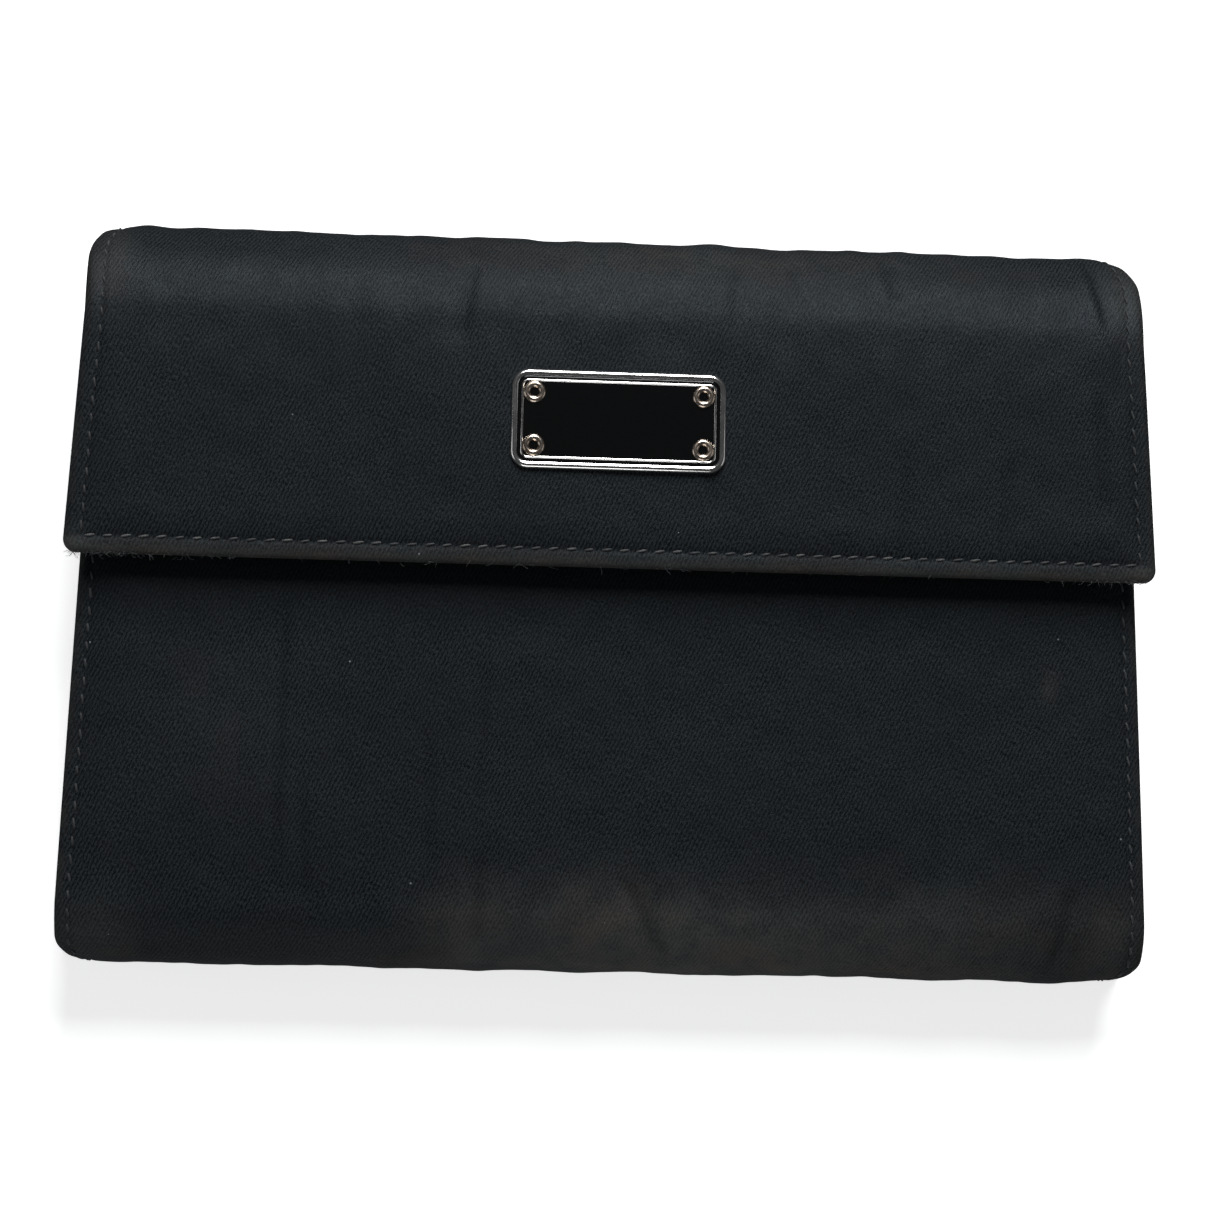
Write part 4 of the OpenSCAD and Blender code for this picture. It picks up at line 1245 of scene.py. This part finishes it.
def build_zip():
    for side, lean in (("lower", 1), ("upper", -1)):
        lo, hi = box_of(f"zip_tape_{side}")
        half, length = (hi[0] - lo[0]) / 2, hi[1] - lo[1]
        place, _, _ = face_of(f"zip_tape_{side}", "down")
        obj = soft_sheet(f"tape_{side}", (0.0, length), even(half), place, TAPE, soft_relief(81, 0.03, 10),
                         (True, True), 0.6 * MM, 0.35 * MM, 0.0, PLAIN_EDGE[:4], 1.2 * MM, 0.3 * MM)
        stand_in(obj, f"zip_tape_{side}", "front")
        coil(f"coil_{side}", f"zip_coil_{side}", lean)


# ---------------------------------------------------------------- plaque and rivets
def rounded_outline(w, l, r, steps=6):
    """Points round a rounded rectangle of half width w and half length l, counterclockwise."""
    points = []
    for cx, cy, first in ((w - r, l - r, 0), (r - w, l - r, 90), (r - w, r - l, 180), (w - r, r - l, 270)):
        for k in range(steps + 1):
            a = math.radians(first + 90 * k / steps)
            points.append((cx + r * math.cos(a), cy + r * math.sin(a)))
    return points


def lofted(name, profile, w, l, r, centre, material):
    """A solid of rounded-rectangle rings; profile lists (inset, z) from the bottom outside to the top."""
    verts, n = [], 0
    for inset, z in profile:
        ring = rounded_outline(w - inset, l - inset, max(r - inset, 0.12 * MM))
        n = len(ring)
        verts += [(centre[0] + x, centre[1] + y, z) for x, y in ring]
    return sharpen(make_object(name, verts, tube_faces(len(profile), n), material), SHARP_PLATE)


def lathed(name, profile, centres, material, sides=28):
    """Turned solids; profile lists (radius, z) from the bottom outside over the top to the hole."""
    verts, faces = [], []
    turn = [TAU * j / sides for j in range(sides)]
    for cx, cy in centres:
        faces += tube_faces(len(profile), sides, len(verts), closed=True)
        for r, z in profile:
            verts += [(cx + r * math.cos(a), cy + r * math.sin(a), z) for a in turn]
    return sharpen(make_object(name, verts, faces, material), SHARP_RIVET)


def build_plaque():
    lo, hi = box_of("plaque_plate")
    centre = ((lo[0] + hi[0]) / 2, (lo[1] + hi[1]) / 2)
    w, l = (hi[0] - lo[0]) / 2, (hi[1] - lo[1]) / 2
    z0, z1 = lo[2], hi[2]
    r = 2.2 * MM
    steps = [(0.0, 0.0), (0.0, 0.62), (0.10, 0.86), (0.30, 1.0), (0.62, 1.0), (0.82, 0.9), (0.90, 0.56)]
    steps += [(1.28, 0.50), (1.34, 0.80), (1.42, 0.86), (1.52, 0.86), (1.60, 0.80), (1.66, 0.50)]
    profile = [(i * MM, z0 + t * (z1 - z0)) for i, t in steps]
    plate = lofted("plaque_rim", profile, w, l, r, centre, SILVER)
    stand_in(plate, "plaque_plate", "flap")
    rise = z0 + 0.74 * (z1 - z0)
    dome = [(0.86, -0.30), (0.86, -0.02), (0.98, 0.02), (2.2, 0.035), (3.6, 0.045), (5.0, 0.05)]
    enamel = lofted("plaque_gloss", [(i * MM, rise + t * MM) for i, t in dome], w, l, r, centre, ENAMEL)
    stand_in(enamel, "plaque_enamel", "flap")
    rivet_lo, rivet_hi = box_of("plaque_rivets")
    big = 1.45 * MM
    xs = (rivet_lo[0] + big, rivet_hi[0] - big)
    ys = (rivet_lo[1] + big, rivet_hi[1] - big)
    top = max(rivet_hi[2], z1) + 0.12 * MM
    shape = [(1.45, -0.9), (1.45, -0.28), (1.38, -0.12), (1.2, -0.02), (1.0, 0.0)]
    shape += [(0.78, -0.05), (0.62, -0.2), (0.55, -0.45), (0.5, -0.9)]
    rivets = lathed("plaque_rivet_heads", [(a * MM, top + b * MM) for a, b in shape],
                    [(x, y) for x in xs for y in ys], RIVET)
    stand_in(rivets, "plaque_rivets", "flap")


# ---------------------------------------------------------------- CAD pieces that stay, with finer edges
def finish_hardware():
    kept = {
        "plaque_backing": SNAP, "snap_socket": SNAP, "snap_socket_cap": SNAP, "snap_spring": SNAP,
        "snap_stud": SNAP, "snap_stud_cap": SNAP, "zip_top_stops": ZIP, "zip_bottom_stop": ZIP,
        "zip_slider": ZIP, "zip_pull": ZIP, "back_board": BOARD, "front_board": BOARD,
    }
    for node, material in kept.items():
        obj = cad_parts[node]
        for slot in obj.material_slots:
            slot.material = material
        if material is not BOARD and node != "snap_spring":
            soften = obj.modifiers.new("soft_edges", "BEVEL")
            soften.width, soften.segments = 0.12 * MM, 2
            soften.limit_method, soften.angle_limit = "ANGLE", math.radians(40)
            soften.use_clamp_overlap = True


build_flap_inside()
build_linings()
build_spine_linings()
build_card_pockets()
build_photo_pocket()
build_bindings()
build_gussets()
build_coin_walls()
build_zip()
build_plaque()
finish_hardware()

# ---------------------------------------------------------------- camera, floor and light
VIEW_TILT, VIEW_TURN, VIEW_ROLL = 7.57, -30.8, 1.20  # degrees from straight down, round, and about the view
VIEW_DISTANCE, LENS = 450 * MM, 102.67
AIM = Vector((0, 0, 15 * MM))
AIM_SHIFT = (-0.91 * MM, -0.57 * MM)  # right and up, in the picture's own directions


def make_camera():
    tilt, turn, roll = (math.radians(v) for v in (VIEW_TILT, VIEW_TURN, VIEW_ROLL))
    back = Vector((math.sin(tilt) * math.sin(turn), -math.sin(tilt) * math.cos(turn), math.cos(tilt)))
    right = (-back).cross(Vector((0, 1, 0))).normalized()
    up = right.cross(-back)
    right, up = right * math.cos(roll) + up * math.sin(roll), up * math.cos(roll) - right * math.sin(roll)
    data = bpy.data.cameras.new("Camera")
    data.lens, data.sensor_width = LENS, 36.0
    data.clip_start, data.clip_end = 0.01, 20.0
    cam = bpy.data.objects.new("Camera", data)
    bpy.context.scene.collection.objects.link(cam)
    cam.rotation_mode = "QUATERNION"
    axes = [right, up, back]
    turned = [[axes[c][r] for c in range(3)] for r in range(3)]
    cam.rotation_quaternion = Matrix(turned).to_quaternion()
    cam.location = AIM + right * AIM_SHIFT[0] + up * AIM_SHIFT[1] + back * VIEW_DISTANCE
    bpy.context.scene.camera = cam


def area_light(name, place, aim, size, power, colour):
    data = bpy.data.lights.new(name, "AREA")
    data.shape, data.size, data.size_y = "RECTANGLE", size[0], size[1]
    data.energy, data.color = power, colour
    lamp = bpy.data.objects.new(name, data)
    lamp.location = place
    lamp.rotation_mode = "QUATERNION"
    lamp.rotation_quaternion = (Vector(aim) - Vector(place)).to_track_quat("-Z", "Y")
    bpy.context.scene.collection.objects.link(lamp)


LAMPS = (  # name, place, aim, width and height in metres, watts and colour
    ("key", (0.07, 0.72, 0.60), (0.0, 0.02, 0), (0.34, 0.60), 10.0, (0.98, 0.99, 1.0)),
    ("left", (-0.85, -0.10, 0.42), (0, 0, 0), (0.5, 0.5), 0.7, (0.97, 0.98, 1.0)),
    ("right", (0.85, -0.10, 0.42), (0, 0, 0), (0.5, 0.5), 0.45, (0.98, 0.99, 1.0)),
    ("near", (-0.10, -0.80, 0.45), (0, 0, 0), (0.5, 0.5), 1.5, (0.98, 0.99, 1.0)),
)


def make_studio():
    reach = 3.0
    corners = [(-reach, -reach, 0), (reach, -reach, 0), (reach, reach, 0), (-reach, reach, 0)]
    floor = make_object("studio_floor", corners, [(0, 1, 2, 3)], floor_material())
    floor.visible_glossy = False
    world = bpy.data.worlds.new("Studio")
    bpy.context.scene.world = world
    world.use_nodes = True
    world.node_tree.nodes["Background"].inputs[0].default_value = (0.93, 0.96, 1.0, 1)
    world.node_tree.nodes["Background"].inputs[1].default_value = 0.05
    for lamp in LAMPS:
        area_light(*lamp)
    bpy.context.scene.view_settings.view_transform = "Standard"


def floor_material():
    m, t, s = new_material("pale_floor")
    at = coords(t, "Object")
    mottle = noise_at(t, at, 0.12, 3.0)
    put(t, s.inputs["Base Color"], mix(t, mottle, (0.93, 0.93, 0.93, 1), (0.95, 0.95, 0.95, 1)))
    put(t, s.inputs["Roughness"], ramp(t, noise_at(t, at, 0.01, 3.0), 0.3, 0.7, 0.8, 0.9))
    s.inputs["Specular IOR Level"].default_value = 0.2
    s.inputs["Emission Color"].default_value = (1, 1, 1, 1)
    s.inputs["Emission Strength"].default_value = 0.65
    return m


make_camera()
make_studio()
